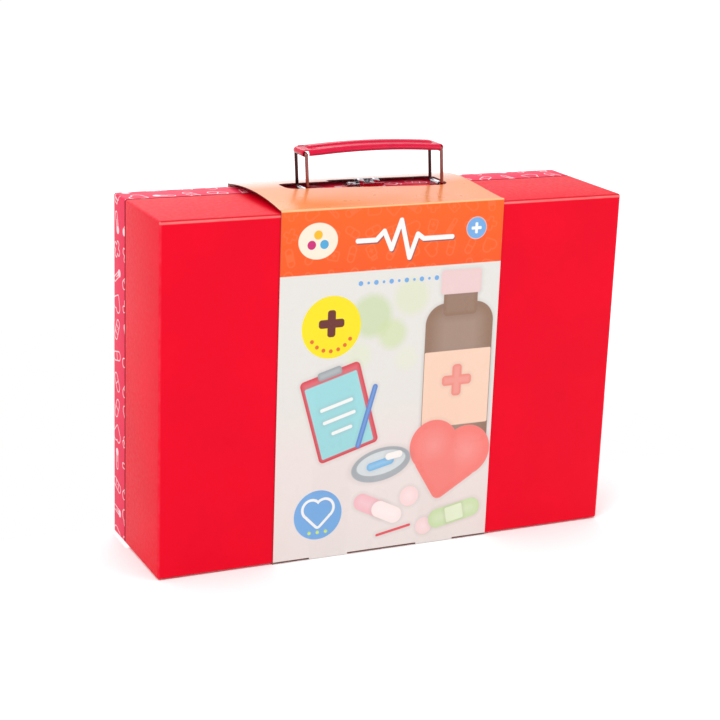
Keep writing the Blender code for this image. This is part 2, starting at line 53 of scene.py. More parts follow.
CLOSE = 0.00001  # Places nearer to each other than this count as the same
OVERRUN = 0.002  # How far a cutting tool reaches past what it cuts
GLUE_GAP = 0.0002  # Room for the glue round a glued layer
HOLE_PLAY = 0.0003  # Room round a fitting in its hole
NOTCH_PLAY = 0.0008  # Room round the fittings in the collar's notches
RIVET_SHANK = 0.001  # Radius of the rivets' shanks
RIVET_HOLE = 0.0012  # Radius of the holes for the shanks
MM = 1000  # Millimetres in a metre, for what is drawn in ink
DRAWN_PITCH = 20.0  # Side of the square that the small drawings are drawn for, in millimetres

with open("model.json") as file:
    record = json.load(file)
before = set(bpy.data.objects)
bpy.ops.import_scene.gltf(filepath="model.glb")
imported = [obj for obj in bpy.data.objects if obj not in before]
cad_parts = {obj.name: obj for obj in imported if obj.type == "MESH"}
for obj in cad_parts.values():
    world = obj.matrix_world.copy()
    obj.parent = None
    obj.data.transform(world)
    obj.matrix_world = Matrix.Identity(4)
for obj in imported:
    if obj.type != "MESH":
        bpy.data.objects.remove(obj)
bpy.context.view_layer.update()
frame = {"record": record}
record = frame["record"]


def joint_place(name):
    """Where a joint's axis passes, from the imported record."""
    found = next(joint for joint in record["behaviour"]["joints"] if joint["name"] == name)
    return Vector(found["pos_m"])


def length(description, default):
    return FloatProperty(description=description, default=default, min=0.0, unit="LENGTH")


def share(description, default):
    return FloatProperty(description=description, default=default, min=0.0, max=1.0)


def factor(description, default):
    return FloatProperty(description=description, default=default, min=0.0)


def power(description, default):
    return FloatProperty(description=description, default=default, min=0.0, unit="POWER")


def colour(description, default):
    """A colour as it looks on a screen."""
    return FloatVectorProperty(
        description=description, default=default, min=0.0, max=1.0, subtype="COLOR_GAMMA"
    )


def label(name):
    return name.replace("_", " ").capitalize()


def labelled(group):
    """Labels each property of a group after its name."""
    for name, made in group.__annotations__.items():
        made.keywords["name"] = label(name)
    return group


@labelled
class CaseSizes(bpy.types.PropertyGroup):
    board: length("Thickness of the trays' board", 0.0020)
    outer_edge: length("Rounding of the trays' outer edges", 0.0015)
    rim_edge: length("Rounding of the paper over the trays' rims", 0.0004)
    lining: length("Thickness of the lining paper", 0.0005)
    lining_margin: length("How far the lining stops below the rim", 0.0018)
    lining_corner: length("Rounding of the lining in the trays' corners", 0.0014)
    collar: length("Thickness of the collar in the base's rim", 0.0010)
    collar_corner: length("Rounding of the collar at the case's corners", 0.0016)
    collar_edge: length("Rounding of the collar's cut edges", 0.00025)
    notch_depth: length("Depth of the collar's notches", 0.0040)
    cloth: length("Thickness of the bookcloth hinge", 0.0005)
    cloth_dip: length("How far the bookcloth sinks into the seam", 0.0003)


@labelled
class HandleSizes(bpy.types.PropertyGroup):
    wire: length("Diameter of the links' wire", 0.0020)
    depth: length("Distance between a link's two legs", 0.0160)
    height: length("Distance between a link's two bars", 0.0230)
    bend: length("Radius of the links' corners at the middle of the wire", 0.0018)
    butt_gap: length("Gap between the ends of a link's wire, inside the clip", 0.0008)
    lean: FloatProperty(description="Lean of the links to the left", default=math.radians(4), subtype="ANGLE")
    clip_sheet: length("Thickness of the clips", 0.0005)
    clip_width: length("Width of the clips", 0.0100)
    clip_tail: length("Length of each clip's spread tail", 0.0045)
    clip_gap: length("Play of the wire in its clip", 0.00015)
    clip_fold: length("Radius of the clips' folds inside the wall", 0.0008)
    clip_edge: length("Rounding of the clips' edges", 0.00018)
    backing_corner: length("Rounding of the backing plates' corners", 0.0015)
    backing_edge: length("Rounding of the backing plates' edges", 0.0001)
    grip_sheet: length("Thickness of the grip", 0.0008)
    grip_gap: length("Play of the wire in the grip's rolled ends", 0.00035)
    grip_side_gap: length("Play between the links and the grip's sides", 0.0003)
    rise: length("Height of the grip's arch", 0.0020)
    flange: length("Depth of the grip's turned-down sides", 0.0035)
    fold: length("Radius of the grip's folds", 0.0022)
    rib_width: length("Width of the rib along the grip", 0.0064)
    rib_height: length("Height of the rib along the grip", 0.0012)
    grip_edge: length("Rounding of the grip's edges", 0.00022)
    tab: length("Length of the grip's narrow end before it widens", 0.0012)
    taper: length("Length over which the grip widens", 0.0032)


@labelled
class ClaspSizes(bpy.types.PropertyGroup):
    sheet: length("Thickness of the clasp's plates", 0.0005)
    edge: length("Rounding of the plates' edges", 0.00012)
    catch_corner: length("Rounding of the catch's corners", 0.0018)
    tab_width: length("Width of the tab on the catch", 0.0046)
    tab_length: length("Length of the tab on the catch", 0.0036)
    tab_height: length("Height of the tab on the catch", 0.0034)
    play: length("Gap round the tab", 0.0005)
    camber: length("Height of the hasp's camber", 0.0036)
    lip: length("Height of the hasp's finger lip", 0.0030)
    bar: length("Width of the bar in front of the hasp's window", 0.0018)
    window_width: length("Width of the hasp's window", 0.0064)
    window_depth: length("Depth of the hasp's window", 0.0052)
    window_corner: length("Rounding of the window's corners", 0.0008)
    lid_plate_corner: length("Rounding of the lid plate's back corners", 0.0014)
    pin_radius: length("Radius of the hasp's pin", 0.0006)
    pin_gap: length("Play of the pin in its knuckles", 0.00015)
    knuckle_width: length("Width of the hasp's knuckle", 0.0090)
    pin_head: length("Length of the pin's heads", 0.0004)
    pin_head_edge: length("Rounding of the pin's heads", 0.00014)
    rivet_head: length("Height of the rivets' heads", 0.0007)
    rivet_end: length("Thickness of the rivets' spread ends", 0.0004)
    rivet_dimple: length("Depth of the dimple in each rivet's head", 0.0002)


@labelled
class SleeveSizes(bpy.types.PropertyGroup):
    card: length("Thickness of the sleeve's card", 0.00045)
    crease: length("Rounding of the sleeve's folds", 0.0006)
    bow_left: length("Height of the sleeve's bowed top at its left edge", 0.0036)
    bow_right: length("Height of the bowed top on the right, beside the slot", 0.0003)
    lift_right: length("How far the top also lifts at its right edge", 0.0029)
    skew_right: factor("How far back the bow's crest is on the right, 1 for the middle", 3.0)
    lift_skew: factor("How far back the lifted edge's crest is, 1 for the middle", 1.65)
    flap: length("Height of the glue flap behind", 0.0160)
    slot_left: length("Slot's reach beyond the handle, on the left", 0.0130)
    slot_right: length("Slot's reach beyond the handle, on the right", 0.0045)
    slot_front: length("Slot's reach in front of the seam", 0.0188)
    slot_back: length("Slot's reach behind the seam, on the left", 0.0018)
    deep_slot_left: length("Deep part's reach to the left of the clasp", 0.0230)
    deep_slot_back: length("Deep part's reach behind the seam", 0.0080)
    deep_slot_corner: length("Rounding of the deep part's left corner", 0.0030)
    slot_corner: length("Rounding of the slot's corners", 0.0060)
    crease_cut: length("Height of the cuts along the bottom crease", 0.0010)
    end_cut_share: share("Share of the width that each end cut takes", 0.163)
    bridge_share: share("Share of the width that each uncut bridge takes", 0.176)
    header_height: length("Height at which the print changes to the pale panel", 0.1778)


@labelled
class CaseColours(bpy.types.PropertyGroup):
    paper: colour("Red paper on the base", (0.955, 0.0, 0.150))
    # Paler paper along the edges: partly wear, partly a painted sheen on the rounded edges
    edge_tint: colour("Stretched paper along the edges", (1.0, 0.33, 0.40))
    # A painted highlight along the base's upper front fold, and above it the painted shade of its crease
    band: colour("Pale band along the base's upper front fold", (1.0, 0.50, 0.50))
    fold_shade: colour("Crease above the band", (0.80, 0.02, 0.10))
    lid_paper: colour("Ground of the lid's printed paper", (0.965, 0.19, 0.35))
    # A painted shadow in the gap of the seam, on the rims of the trays and the collar
    seam: colour("Paper turned in along the seam, in its own shade", (0.58, 0.0, 0.08))
    lid_ink: colour("Line drawings on the lid's paper", (1.0, 0.90, 0.92))
    lining: colour("Lining paper", (0.60, 0.86, 0.87))
    cloth: colour("Bookcloth hinge", (0.72, 0.05, 0.13))
    bright_steel: colour("Plated clips and clasp", (0.80, 0.80, 0.82))
    # The links' plating is darkened as a painted reflection of dark surroundings, and their front legs get a
    # warmer painted reflection of the orange card
    wire_steel: colour("Darker plating of the links", (0.30, 0.20, 0.21))
    worn_wire: colour("Warmer plating of the links' front legs", (0.60, 0.38, 0.36))
    plain_steel: colour("Plates inside the base", (0.62, 0.62, 0.64))
    lacquer: colour("Lacquer on the grip", (0.88, 0.0, 0.24))


@labelled
class PrintColours(bpy.types.PropertyGroup):
    header: colour("Orange header", (0.985, 0.335, 0.0))
    header_high: colour("The header's colour towards the fold", (0.975, 0.385, 0.02))
    # The bowed top's paler oranges are a painted sheen, strongest towards the back
    top: colour("Paler orange of the bowed top", (0.985, 0.575, 0.31))
    top_front: colour("The bowed top's colour near the front fold", (0.96, 0.51, 0.09))
    top_behind: colour("The bowed top's colour towards the back", (1.0, 0.92, 0.89))
    header_mark: colour("Faint drawings in the header", (1.0, 0.43, 0.20))
    panel: colour("Pale panel", (0.905, 0.895, 0.875))
    table: colour("Lower part of the printed scene", (0.93, 0.89, 0.875))
    white: colour("White ink", (0.97, 0.97, 0.96))
    cream: colour("Ground of the pale badge", (0.985, 0.93, 0.85))
    shade: colour("Shadow under the white marks", (0.36, 0.30, 0.38))
    yellow: colour("Yellow badge", (0.99, 0.90, 0.0))
    brown: colour("Dark marks on the yellow badge", (0.40, 0.13, 0.10))
    orange: colour("Orange marks on the yellow badge", (0.90, 0.42, 0.16))
    blue: colour("Blue badges and dots", (0.46, 0.68, 0.90))
    lime: colour("Light green marks", (0.82, 0.92, 0.45))
    # Partly cracked ink and partly a painted highlight along the upper fold
    crease: colour("Cracked ink along the upper fold", (1.0, 0.80, 0.58))
    speck: colour("Specks where the ink has missed the card", (0.80, 0.66, 0.60))
    card_inside: colour("Unprinted side of the card", (0.86, 0.84, 0.80))
    # Grey board of the cut edges, made darker to also stand in for a painted shade along the sleeve's edges
    card_edge: colour("Cut edges of the card, a grey board", (0.52, 0.40, 0.38))


@labelled
class StudioSettings(bpy.types.PropertyGroup):
    sky: factor("Strength of the even light", 0.86)
    key: power("Power of the main lamp", 8.0)
    fill: power("Power of the fill lamp", 4.0)
    back: power("Power of the back lamp", 5.0)
    floor_lit: factor("Grey of the floor as the lamps light it", 0.80)
    floor_seen: factor("Grey of the floor as the camera sees it", 1.17)
    floor_size: length("Width of the floor", 24.0)
    lens: factor("Focal length in millimetres", 92.54)
    camera_place: FloatVectorProperty(
        description="Place of the camera", default=(-0.4790, -0.99173, 0.43415), subtype="TRANSLATION"
    )
    camera_turn: FloatVectorProperty(
        description="Turn of the camera", default=(1.28366, -0.03630, -0.43560), subtype="EULER"
    )


GROUPS = {
    "case_sizes": CaseSizes,
    "handle_sizes": HandleSizes,
    "clasp_sizes": ClaspSizes,
    "sleeve_sizes": SleeveSizes,
    "case_colours": CaseColours,
    "print_colours": PrintColours,
    "studio": StudioSettings,
}

# Materials that several pieces share, by the function that makes them
shared = {}

RIVETS = {"base": ("catch_rivet_left", "catch_rivet_right"), "lid": ("lid_rivet_left", "lid_rivet_right")}

LAMPS = {"key": ((-0.9, -0.7, 1.5), 0.9), "fill": ((1.1, -1.3, 0.9), 1.0), "back": ((0.2, 1.4, 1.2), 1.0)}

# The sleeve's print, in millimetres from the case's middle and the floor: the soft lights, and the things by
# colour, kind of shape, the shapes' places and how round they look

TABLE_EDGE = 84.0

SOFT_LIGHTS = [
    (-18, 150, 13, (0.74, 0.84, 0.55), 0.55),
    (-4, 138, 9, (0.80, 0.87, 0.62), 0.60),
    (8, 160, 11, (0.86, 0.90, 0.70), 0.45),
    (-26, 126, 8, (0.88, 0.92, 0.78), 0.50),
    (6, 122, 7, (0.90, 0.92, 0.82), 0.50),
]

PRINTED_THINGS = [
    ((0.58, 0.45, 0.37), "panel", [((41, 104), (23, 50), 13)], 11),
    ((0.58, 0.45, 0.37), "panel", [((41, 156), (11.5, 10), 3)], 6),
    ((0.93, 0.80, 0.80), "panel", [((41, 167), (13.5, 7.5), 2)], 4),
    ((0.98, 0.83, 0.74), "panel", [((41, 100), (22.6, 24), 1)], 14),
    ((0.94, 0.55, 0.50), "plus", [((41, 105), 10, 6.4)], 2),
    ((0.97, 0.50, 0.47), "heart", [((36, 50), 33, -14)], 13),
    ((0.85, 0.24, 0.30), "panel", [((-37, 92), (20, 27), 3, 16)], 2),
    ((0.62, 0.86, 0.88), "panel", [((-37, 90.5), (17.4, 23.4), 1, 16)], 9),
    ((0.60, 0.63, 0.65), "panel", [((-44, 117), (8, 2.6), 2, 16)], 1.2),
    ((0.97, 0.97, 0.96), "panel", [((-39, 97), (11, 1.1), 1, 16), ((-37, 89), (11, 1.1), 1, 16)], 1),
    ((0.97, 0.97, 0.96), "panel", [((-35, 81), (7, 1.1), 1, 16)], 1),
    ((0.30, 0.50, 0.80), "bar", [((-24, 70), (-14, 106), 1.7)], 1),
    ((0.66, 0.69, 0.71), "oval", [((-8, 56), (20, 10.5), 10)], 4),
    ((0.84, 0.87, 0.88), "oval", [((-8, 57), (16.5, 7.4), 10)], 3),
    ((0.46, 0.72, 0.90), "bar", [((-15, 55), (-2, 58), 2.6)], 1.5),
    ((0.98, 0.96, 0.94), "bar", [((-3, 60.5), (4, 61.5), 2.2)], 1.5),
    ((0.96, 0.74, 0.77), "bar", [((-20, 33), (-6, 26), 5.4)], 3),
    ((0.99, 0.93, 0.92), "bar", [((-8, 27), (2, 22), 5.3)], 3),
    ((0.98, 0.86, 0.86), "disc", [((12, 33), 6.4), ((23, 12), 5.6)], 3),
    ((0.80, 0.89, 0.68), "panel", [((44, 18), (18, 6.2), 6, 11)], 3),
    ((0.90, 0.95, 0.82), "panel", [((44, 18), (6, 5.0), 1, 11)], 2),
    ((0.88, 0.16, 0.22), "bar", [((-9, 10), (13, 14), 0.8)], 0.5),
]

HEARTBEAT = [
    (-29, 196), (-17, 196), (-12, 201), (-7, 190), (-1, 207), (5, 184), (10, 198), (14, 195), (33, 195)
]

BADGE_DOTS = [
    ((-58.2, 195.4), (0.80, 0.12, 0.46)),
    ((-54.2, 201.2), (0.98, 0.74, 0.10)),
    ((-50.2, 195.4), (0.30, 0.66, 0.86)),
]

# Modelling, as by hand


def clear_selection():
    if bpy.context.mode != "OBJECT":
        bpy.ops.object.mode_set(mode="OBJECT")
    bpy.ops.object.select_all(action="DESELECT")


def activate(thing):
    clear_selection()
    thing.select_set(True)
    bpy.context.view_layer.objects.active = thing


def settle(thing):
    """Moves the object's place, turn and scale into its mesh."""
    activate(thing)
    bpy.ops.object.transform_apply(location=True, rotation=True, scale=True)


def named(name):
    made = bpy.context.object
    made.name = name
    made.data.name = name
    settle(made)
    return made


def add_block(name, low, high):
    low, high = Vector(low), Vector(high)
    clear_selection()
    bpy.ops.mesh.primitive_cube_add(size=1.0, location=(low + high) / 2, scale=high - low)
    return named(name)


def add_rod(name, centre, radius, height, sides=32, turn=(0, 0, 0)):
    clear_selection()
    bpy.ops.mesh.primitive_cylinder_add(
        vertices=sides, radius=radius, depth=height, location=centre, rotation=turn
    )
    return named(name)


def pick(thing, kind, wanted):
    """Enters edit mode with the vertices, edges or faces selected that a test on their place finds."""
    activate(thing)
    bpy.context.tool_settings.mesh_select_mode = [kind == each for each in ("VERT", "EDGE", "FACE")]
    bpy.ops.object.mode_set(mode="EDIT")
    bpy.ops.mesh.select_all(action="DESELECT")
    bpy.ops.object.mode_set(mode="OBJECT")
    mesh = thing.data
    if kind == "FACE":
        for face in mesh.polygons:
            face.select = wanted(face.center, face.normal)
    elif kind == "EDGE":
        for edge in mesh.edges:
            edge.select = wanted(*(mesh.vertices[end].co for end in edge.vertices))
    else:
        for vertex in mesh.vertices:
            vertex.select = wanted(vertex.co)
    bpy.ops.object.mode_set(mode="EDIT")


def round_uprights(thing, width, segments):
    """Rounds the edges that stand upright."""
    pick(thing, "EDGE", lambda start, end: (start.xy - end.xy).length < CLOSE)
    bevel(width, segments)
    leave_edit()


def slice_through(thing, place, across):
    """Divides the faces along a plane."""
    pick(thing, "FACE", lambda centre, normal: True)
    bpy.ops.mesh.bisect(plane_co=place, plane_no=across)


def move_points(thing, wanted, step):
    """Moves the vertices that a test on their place finds."""
    pick(thing, "VERT", wanted)
    bpy.ops.transform.translate(value=step)


def extrude(step):
    bpy.ops.mesh.extrude_region_move(TRANSFORM_OT_translate={"value": step})


def leave_edit():
    bpy.ops.object.mode_set(mode="OBJECT")


def bevel(width, segments):
    bpy.ops.mesh.bevel(offset=width, offset_type="OFFSET", segments=segments, affect="EDGES")


def apply_modifier(thing, kind, **settings):
    activate(thing)
    change = thing.modifiers.new(kind.lower(), kind)
    for name, value in settings.items():
        setattr(change, name, value)
    bpy.ops.object.modifier_apply(modifier=change.name)


def thicken(thing, thickness, offset=0.0, **settings):
    apply_modifier(thing, "SOLIDIFY", thickness=thickness, offset=offset, use_even_offset=True, **settings)


def soften(thing, width, segments=2, angle=40):
    """Rounds the sharp edges."""
    apply_modifier(
        thing, "BEVEL", width=width, segments=segments, limit_method="ANGLE", angle_limit=math.radians(angle)
    )


def cut(thing, tool, operation="DIFFERENCE"):
    """Cuts the piece with a tool, or joins the tool to it, and removes the tool."""
    apply_modifier(thing, "BOOLEAN", object=tool, operation=operation, solver="EXACT")
    bpy.data.objects.remove(tool, do_unlink=True)


def smooth(thing, angle=35):
    activate(thing)
    bpy.ops.object.shade_smooth_by_angle(angle=math.radians(angle))


def arc(centre, radius, start, end, steps):
    """Points on an arc in a plane, from one angle to another in degrees, both ends included."""
    angles = [math.radians(start + (end - start) * step / steps) for step in range(steps + 1)]
    return [(centre[0] + radius * math.cos(a), centre[1] + radius * math.sin(a)) for a in angles]


def bend_strip(name, path, low, high, plane):
    """A strip from low to high that follows a path in the XZ or the YZ plane, extruded point by point."""
    (u, v), (next_u, next_v) = path[:2]
    run = math.hypot(next_u - u, next_v - v)
    angle = math.atan2(next_v - v, next_u - u)
    middle, middle_u, middle_v = (low + high) / 2, (u + next_u) / 2, (v + next_v) / 2
    clear_selection()
    if plane == "XZ":
        place, turn, scale = (middle_u, middle, middle_v), (0, -angle, 0), (run, high - low, 1)
    else:
        place, turn, scale = (middle, middle_u, middle_v), (angle, 0, 0), (high - low, run, 1)
    bpy.ops.mesh.primitive_plane_add(size=1.0, location=place, rotation=turn)
    bpy.context.object.scale = scale
    strip = named(name)
    across = 0 if plane == "XZ" else 1
    near = run * 0.01

    def at_end(*ends):
        return all(math.hypot(end[across] - next_u, end[2] - next_v) < near for end in ends)

    pick(strip, "EDGE", at_end)
    for (u, v), (next_u, next_v) in zip(path[1:], path[2:]):
        extrude((next_u - u, 0, next_v - v) if plane == "XZ" else (0, next_u - u, next_v - v))
    bpy.ops.mesh.select_all(action="SELECT")
    bpy.ops.mesh.normals_make_consistent(inside=False)
    leave_edit()
    return strip


def hand_over(piece, body, slot, material, *nodes, angle=35):
    """Finishes a piece: smooth shading, its material and the body it rides on, and hides the nodes it stands
    for.
    """
    smooth(piece, angle)
    if material:
        piece.data.materials.append(material)
    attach(piece, body)
    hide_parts(*nodes)


def hand_over_steel(piece, body, node):
    """Finishes a piece of bright plated steel."""
    hand_over(piece, body, "chromed_steel", case_material(bright_steel), node)


# Materials


def linear(level):
    return level / 12.92 if level <= 0.04045 else ((level + 0.055) / 1.055) ** 2.4


def ink(screen_colour):
    return (*(linear(level) for level in screen_colour), 1.0)


class Finish:
    """A Principled material and short ways to add nodes to it. Each way gives the socket of its result."""

    def __init__(self, name, roughness, **settings):
        self.material = bpy.data.materials.new(name)
        self.material.use_nodes = True
        self.tree = self.material.node_tree
        self.shader = self.tree.nodes["Principled BSDF"]
        self.shader.inputs["Roughness"].default_value = roughness
        for socket, value in settings.items():
            self.shader.inputs[socket.replace("_", " ")].default_value = value
        self.place = self.tree.nodes.new("ShaderNodeTexCoord").outputs["Object"]

    def feed(self, socket, value):
        if isinstance(value, bpy.types.NodeSocket):
            self.tree.links.new(value, socket)
        elif value is not None:
            socket.default_value = value

    def node(self, kind, *values, **settings):
        made = self.tree.nodes.new(kind)
        for name, value in settings.items():
            setattr(made, name, value)
        for socket, value in zip(made.inputs, values):
            self.feed(socket, value)
        return made

    def math(self, operation, *values, clamp=False):
        return self.node("ShaderNodeMath", *values, operation=operation, use_clamp=clamp).outputs[0]

    def times(self, *values):
        return self.math("MULTIPLY", *values)

    def vector(self, operation, *values, result="Vector"):
        return self.node("ShaderNodeVectorMath", *values, operation=operation).outputs[result]

    def scaled(self, vector, factor):
        made = self.node("ShaderNodeVectorMath", vector, operation="SCALE")
        self.feed(made.inputs["Scale"], factor)
        return made.outputs["Vector"]

    def combine(self, x, y):
        return self.node("ShaderNodeCombineXYZ", x, y).outputs[0]

    def separate(self, vector):
        return self.node("ShaderNodeSeparateXYZ", vector).outputs

    def mix(self, share, first, second):
        made = self.tree.nodes.new("ShaderNodeMix")
        made.data_type = "RGBA"
        self.feed(made.inputs[0], share)
        self.feed(made.inputs[6], first)
        self.feed(made.inputs[7], second)
        return made.outputs[2]

    def noise(self, scale, detail=2.0, stretch=None):
        place = self.vector("MULTIPLY", self.place, stretch) if stretch else self.place
        made = self.tree.nodes.new("ShaderNodeTexNoise")
        self.feed(made.inputs["Vector"], place)
        made.inputs["Scale"].default_value = scale
        made.inputs["Detail"].default_value = detail
        return made.outputs["Fac"]

    def between(self, value, low, high, to_low=0.0, to_high=1.0):
        """Maps a value from one range to another, held at its ends."""
        made = self.tree.nodes.new("ShaderNodeMapRange")
        for name, level in (("From Min", low), ("From Max", high), ("To Min", to_low), ("To Max", to_high)):
            made.inputs[name].default_value = level
        self.feed(made.inputs["Value"], value)
        return made.outputs["Result"]

    def mottle(self, noise, screen_colour, darker, low=0.3, high=0.7):
        """A colour that a noise darkens in places."""
        deep = tuple(level * darker for level in screen_colour)
        return self.mix(self.between(noise, low, high), ink(deep), ink(screen_colour))

    def colour(self, socket):
        self.feed(self.shader.inputs["Base Color"], socket)

    def roughen(self, noise, low, high):
        self.feed(self.shader.inputs["Roughness"], self.between(noise, 0.3, 0.7, low, high))

    def bump(self, height, strength, distance):
        made = self.tree.nodes.new("ShaderNodeBump")
        made.inputs["Strength"].default_value = strength
        made.inputs["Distance"].default_value = distance
        self.feed(made.inputs["Height"], height)
        self.feed(self.shader.inputs["Normal"], made.outputs["Normal"])

    # Shapes drawn in ink, each as the distance to its edge in millimetres, less than zero inside

    def disc(self, at, centre, radius):
        return self.math("SUBTRACT", self.vector("DISTANCE", at, (*centre, 0), result="Value"), radius)

    def bar(self, at, start, end, radius):
        along = Vector((*end, 0)) - Vector((*start, 0))
        from_start = self.vector("SUBTRACT", at, (*start, 0))
        share = self.vector("DOT_PRODUCT", from_start, along / along.length_squared, result="Value")
        held = self.math("ADD", share, 0.0, clamp=True)
        away = self.vector("DISTANCE", from_start, self.scaled(along, held), result="Value")
        return self.math("SUBTRACT", away, radius)

    def placed(self, at, centre, turn=0.0, scale=(1, 1)):
        """The coordinates of a shape that is centred, turned and stretched."""
        change = ((*centre, 0), (0, 0, math.radians(turn)), (*scale, 1))
        return self.node("ShaderNodeMapping", at, *change, vector_type="TEXTURE").outputs[0]

    def panel(self, at, centre, half, corner, turn=0.0):
        out = self.vector("ABSOLUTE", self.placed(at, centre, turn))
        out = self.vector("SUBTRACT", out, (half[0] - corner, half[1] - corner, 0))
        out = self.vector("LENGTH", self.vector("MAXIMUM", out, (0, 0, 0)), result="Value")
        return self.math("SUBTRACT", out, corner)

    def oval(self, at, centre, half, turn=0.0):
        reach = self.vector("LENGTH", self.placed(at, centre, turn, half), result="Value")
        return self.math("MULTIPLY_ADD", reach, min(half), -min(half))

    def heart(self, at, centre, size, turn=0.0):
        at = self.placed(at, centre, turn)
        side, lobe = size * 0.5, size * 0.3536
        shape = self.panel(at, (0, 0), (side, side), side * 0.3, 45)
        shape = self.math("MINIMUM", shape, self.disc(at, (lobe, lobe), side))
        return self.math("MINIMUM", shape, self.disc(at, (-lobe, lobe), side))

    def plus(self, at, centre, half, width):
        corner = width * 0.35
        shape = self.panel(at, centre, (half, width / 2), corner)
        return self.math("MINIMUM", shape, self.panel(at, centre, (width / 2, half), corner))

    def join(self, *shapes):
        joined = shapes[0]
        for shape in shapes[1:]:
            joined = self.math("MINIMUM", joined, shape)
        return joined

    def line(self, shape, width):
        """The outline of a shape."""
        return self.math("SUBTRACT", self.math("ABSOLUTE", shape), width / 2)

    def cover(self, shape, soft=0.12):
        """1 inside a shape and 0 outside, over an edge of a given softness."""
        return self.math("MULTIPLY_ADD", shape, -1 / soft, 0.5, clamp=True)

    def paint(self, ground, screen_colour, shape, soft=0.12, strength=1.0):
        share = self.cover(shape, soft)
        if strength < 1.0:
            share = self.times(share, strength)
        return self.mix(share, ground, ink(screen_colour))


def small_drawings(finish, at, pitch, weight):
    """Line drawings from a play clinic, one to a square and turned at random, as a distance."""
    cell = finish.vector("FLOOR", finish.vector("DIVIDE", at, (pitch, pitch, 1)))
    middle = finish.vector("MULTIPLY_ADD", cell, (pitch, pitch, 0), (pitch / 2, pitch / 2, 0))
    local = finish.vector("SUBTRACT", at, middle)
    chance = finish.node("ShaderNodeTexWhiteNoise", cell, noise_dimensions="2D").outputs["Color"]
    for_turn, for_choice = finish.node("ShaderNodeSeparateColor", chance).outputs[:2]
    turned = finish.node("ShaderNodeVectorRotate", local, rotation_type="Z_AXIS")
    finish.feed(turned.inputs["Angle"], finish.times(for_turn, math.tau))
    at = finish.scaled(turned.outputs[0], DRAWN_PITCH / pitch)
    plus = finish.line(finish.plus(at, (0, 0), 6.4, 4.6), weight)
    heart = finish.line(finish.heart(at, (0, -1.5), 8.6), weight)
    tablet = finish.join(
        finish.line(finish.bar(at, (-4.2, 0), (4.2, 0), 3.3), weight),
        finish.bar(at, (0, -3), (0, 3), weight / 2),
    )
    plaster = finish.join(
        finish.line(finish.panel(at, (0, 0), (8.2, 3.2), 3.0), weight),
        finish.line(finish.panel(at, (0, 0), (2.8, 3.2), 0.6), weight),
        finish.disc(at, (0, 0), weight * 0.6),
    )
    gauge = finish.join(
        finish.line(finish.bar(at, (-6.0, 0), (5.6, 0), 1.9), weight),
        finish.disc(at, (-6.0, 0), 2.9),
        finish.bar(at, (-6.0, 0), (1.5, 0), weight / 2),
    )
    bottle = finish.join(
        finish.line(finish.panel(at, (0, -1.8), (4.2, 5.2), 1.6), weight),
        finish.line(finish.panel(at, (0, 5.4), (2.6, 1.5), 0.8), weight),
        finish.plus(at, (0, -2.2), 2.4, weight * 1.1),
    )
    drawings = [plus, heart, tablet, plaster, gauge, bottle]
    choice = finish.math("FLOOR", finish.times(for_choice, len(drawings)))
    shown = []
    for number, drawing in enumerate(drawings):
        chosen = finish.math("COMPARE", choice, number, 0.5)
        hidden = finish.math("MULTIPLY_ADD", chosen, -100.0, 100.0)
        shown.append(finish.math("ADD", drawing, hidden))
    return finish.join(*shown)


def wrapped_place(finish, node):
    """Millimetres across one flat sheet that is wrapped round a tray: its face, then its walls."""
    low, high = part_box(node)
    middle = (low + high) / 2
    reach = (high - low) / 2
    wall_skin = 0.0009
    outward = 1 if node.startswith("base") else -1
    face_y = low.y if outward > 0 else high.y
    x, y, z = finish.separate(finish.vector("SUBTRACT", finish.place, (middle.x, face_y, middle.z)))
    depth = finish.times(y, outward)
    side = finish.math("GREATER_THAN", finish.math("ABSOLUTE", x), reach.x - wall_skin)
    above = finish.math("GREATER_THAN", finish.math("ABSOLUTE", z), reach.z - wall_skin)
    above = finish.times(above, finish.math("SUBTRACT", 1.0, side))
    across = finish.times(finish.times(finish.math("SIGN", x), depth), side)
    up = finish.times(finish.times(finish.math("SIGN", z), depth), above)
    flat = finish.combine(finish.math("ADD", x, across), finish.math("ADD", z, up))
    return finish.vector("MULTIPLY", flat, (MM, MM, 0))


def near_edge(finish, node, inner, outer):
    """1 along the edges of a node's box, and 0 away from them."""
    low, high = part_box(node)
    out = finish.vector("ABSOLUTE", finish.vector("SUBTRACT", finish.place, (low + high) / 2))
    x, y, z = finish.separate(finish.vector("SUBTRACT", (high - low) / 2, out))
    least = finish.math("MINIMUM", x, y)
    most = finish.math("MAXIMUM", x, y)
    second = finish.math("MAXIMUM", least, finish.math("MINIMUM", most, z))
    return finish.between(second, outer, inner)


# Mask for the painted shadow along the seam
def seam_shadow_mask(finish, width):
    """1 within a width of the seam between the trays, and 0 farther away."""
    y = finish.separate(finish.place)[1]
    from_seam = finish.math("ABSOLUTE", finish.math("SUBTRACT", y, joint_place("lid_hinge").y))
    return finish.between(from_seam, width * 1.2, width)


def paper_grain(finish):
    finish.roughen(finish.noise(420, 2), 0.42, 0.52)
    finish.bump(finish.noise(2600, 3), strength=0.07, distance=0.00004)


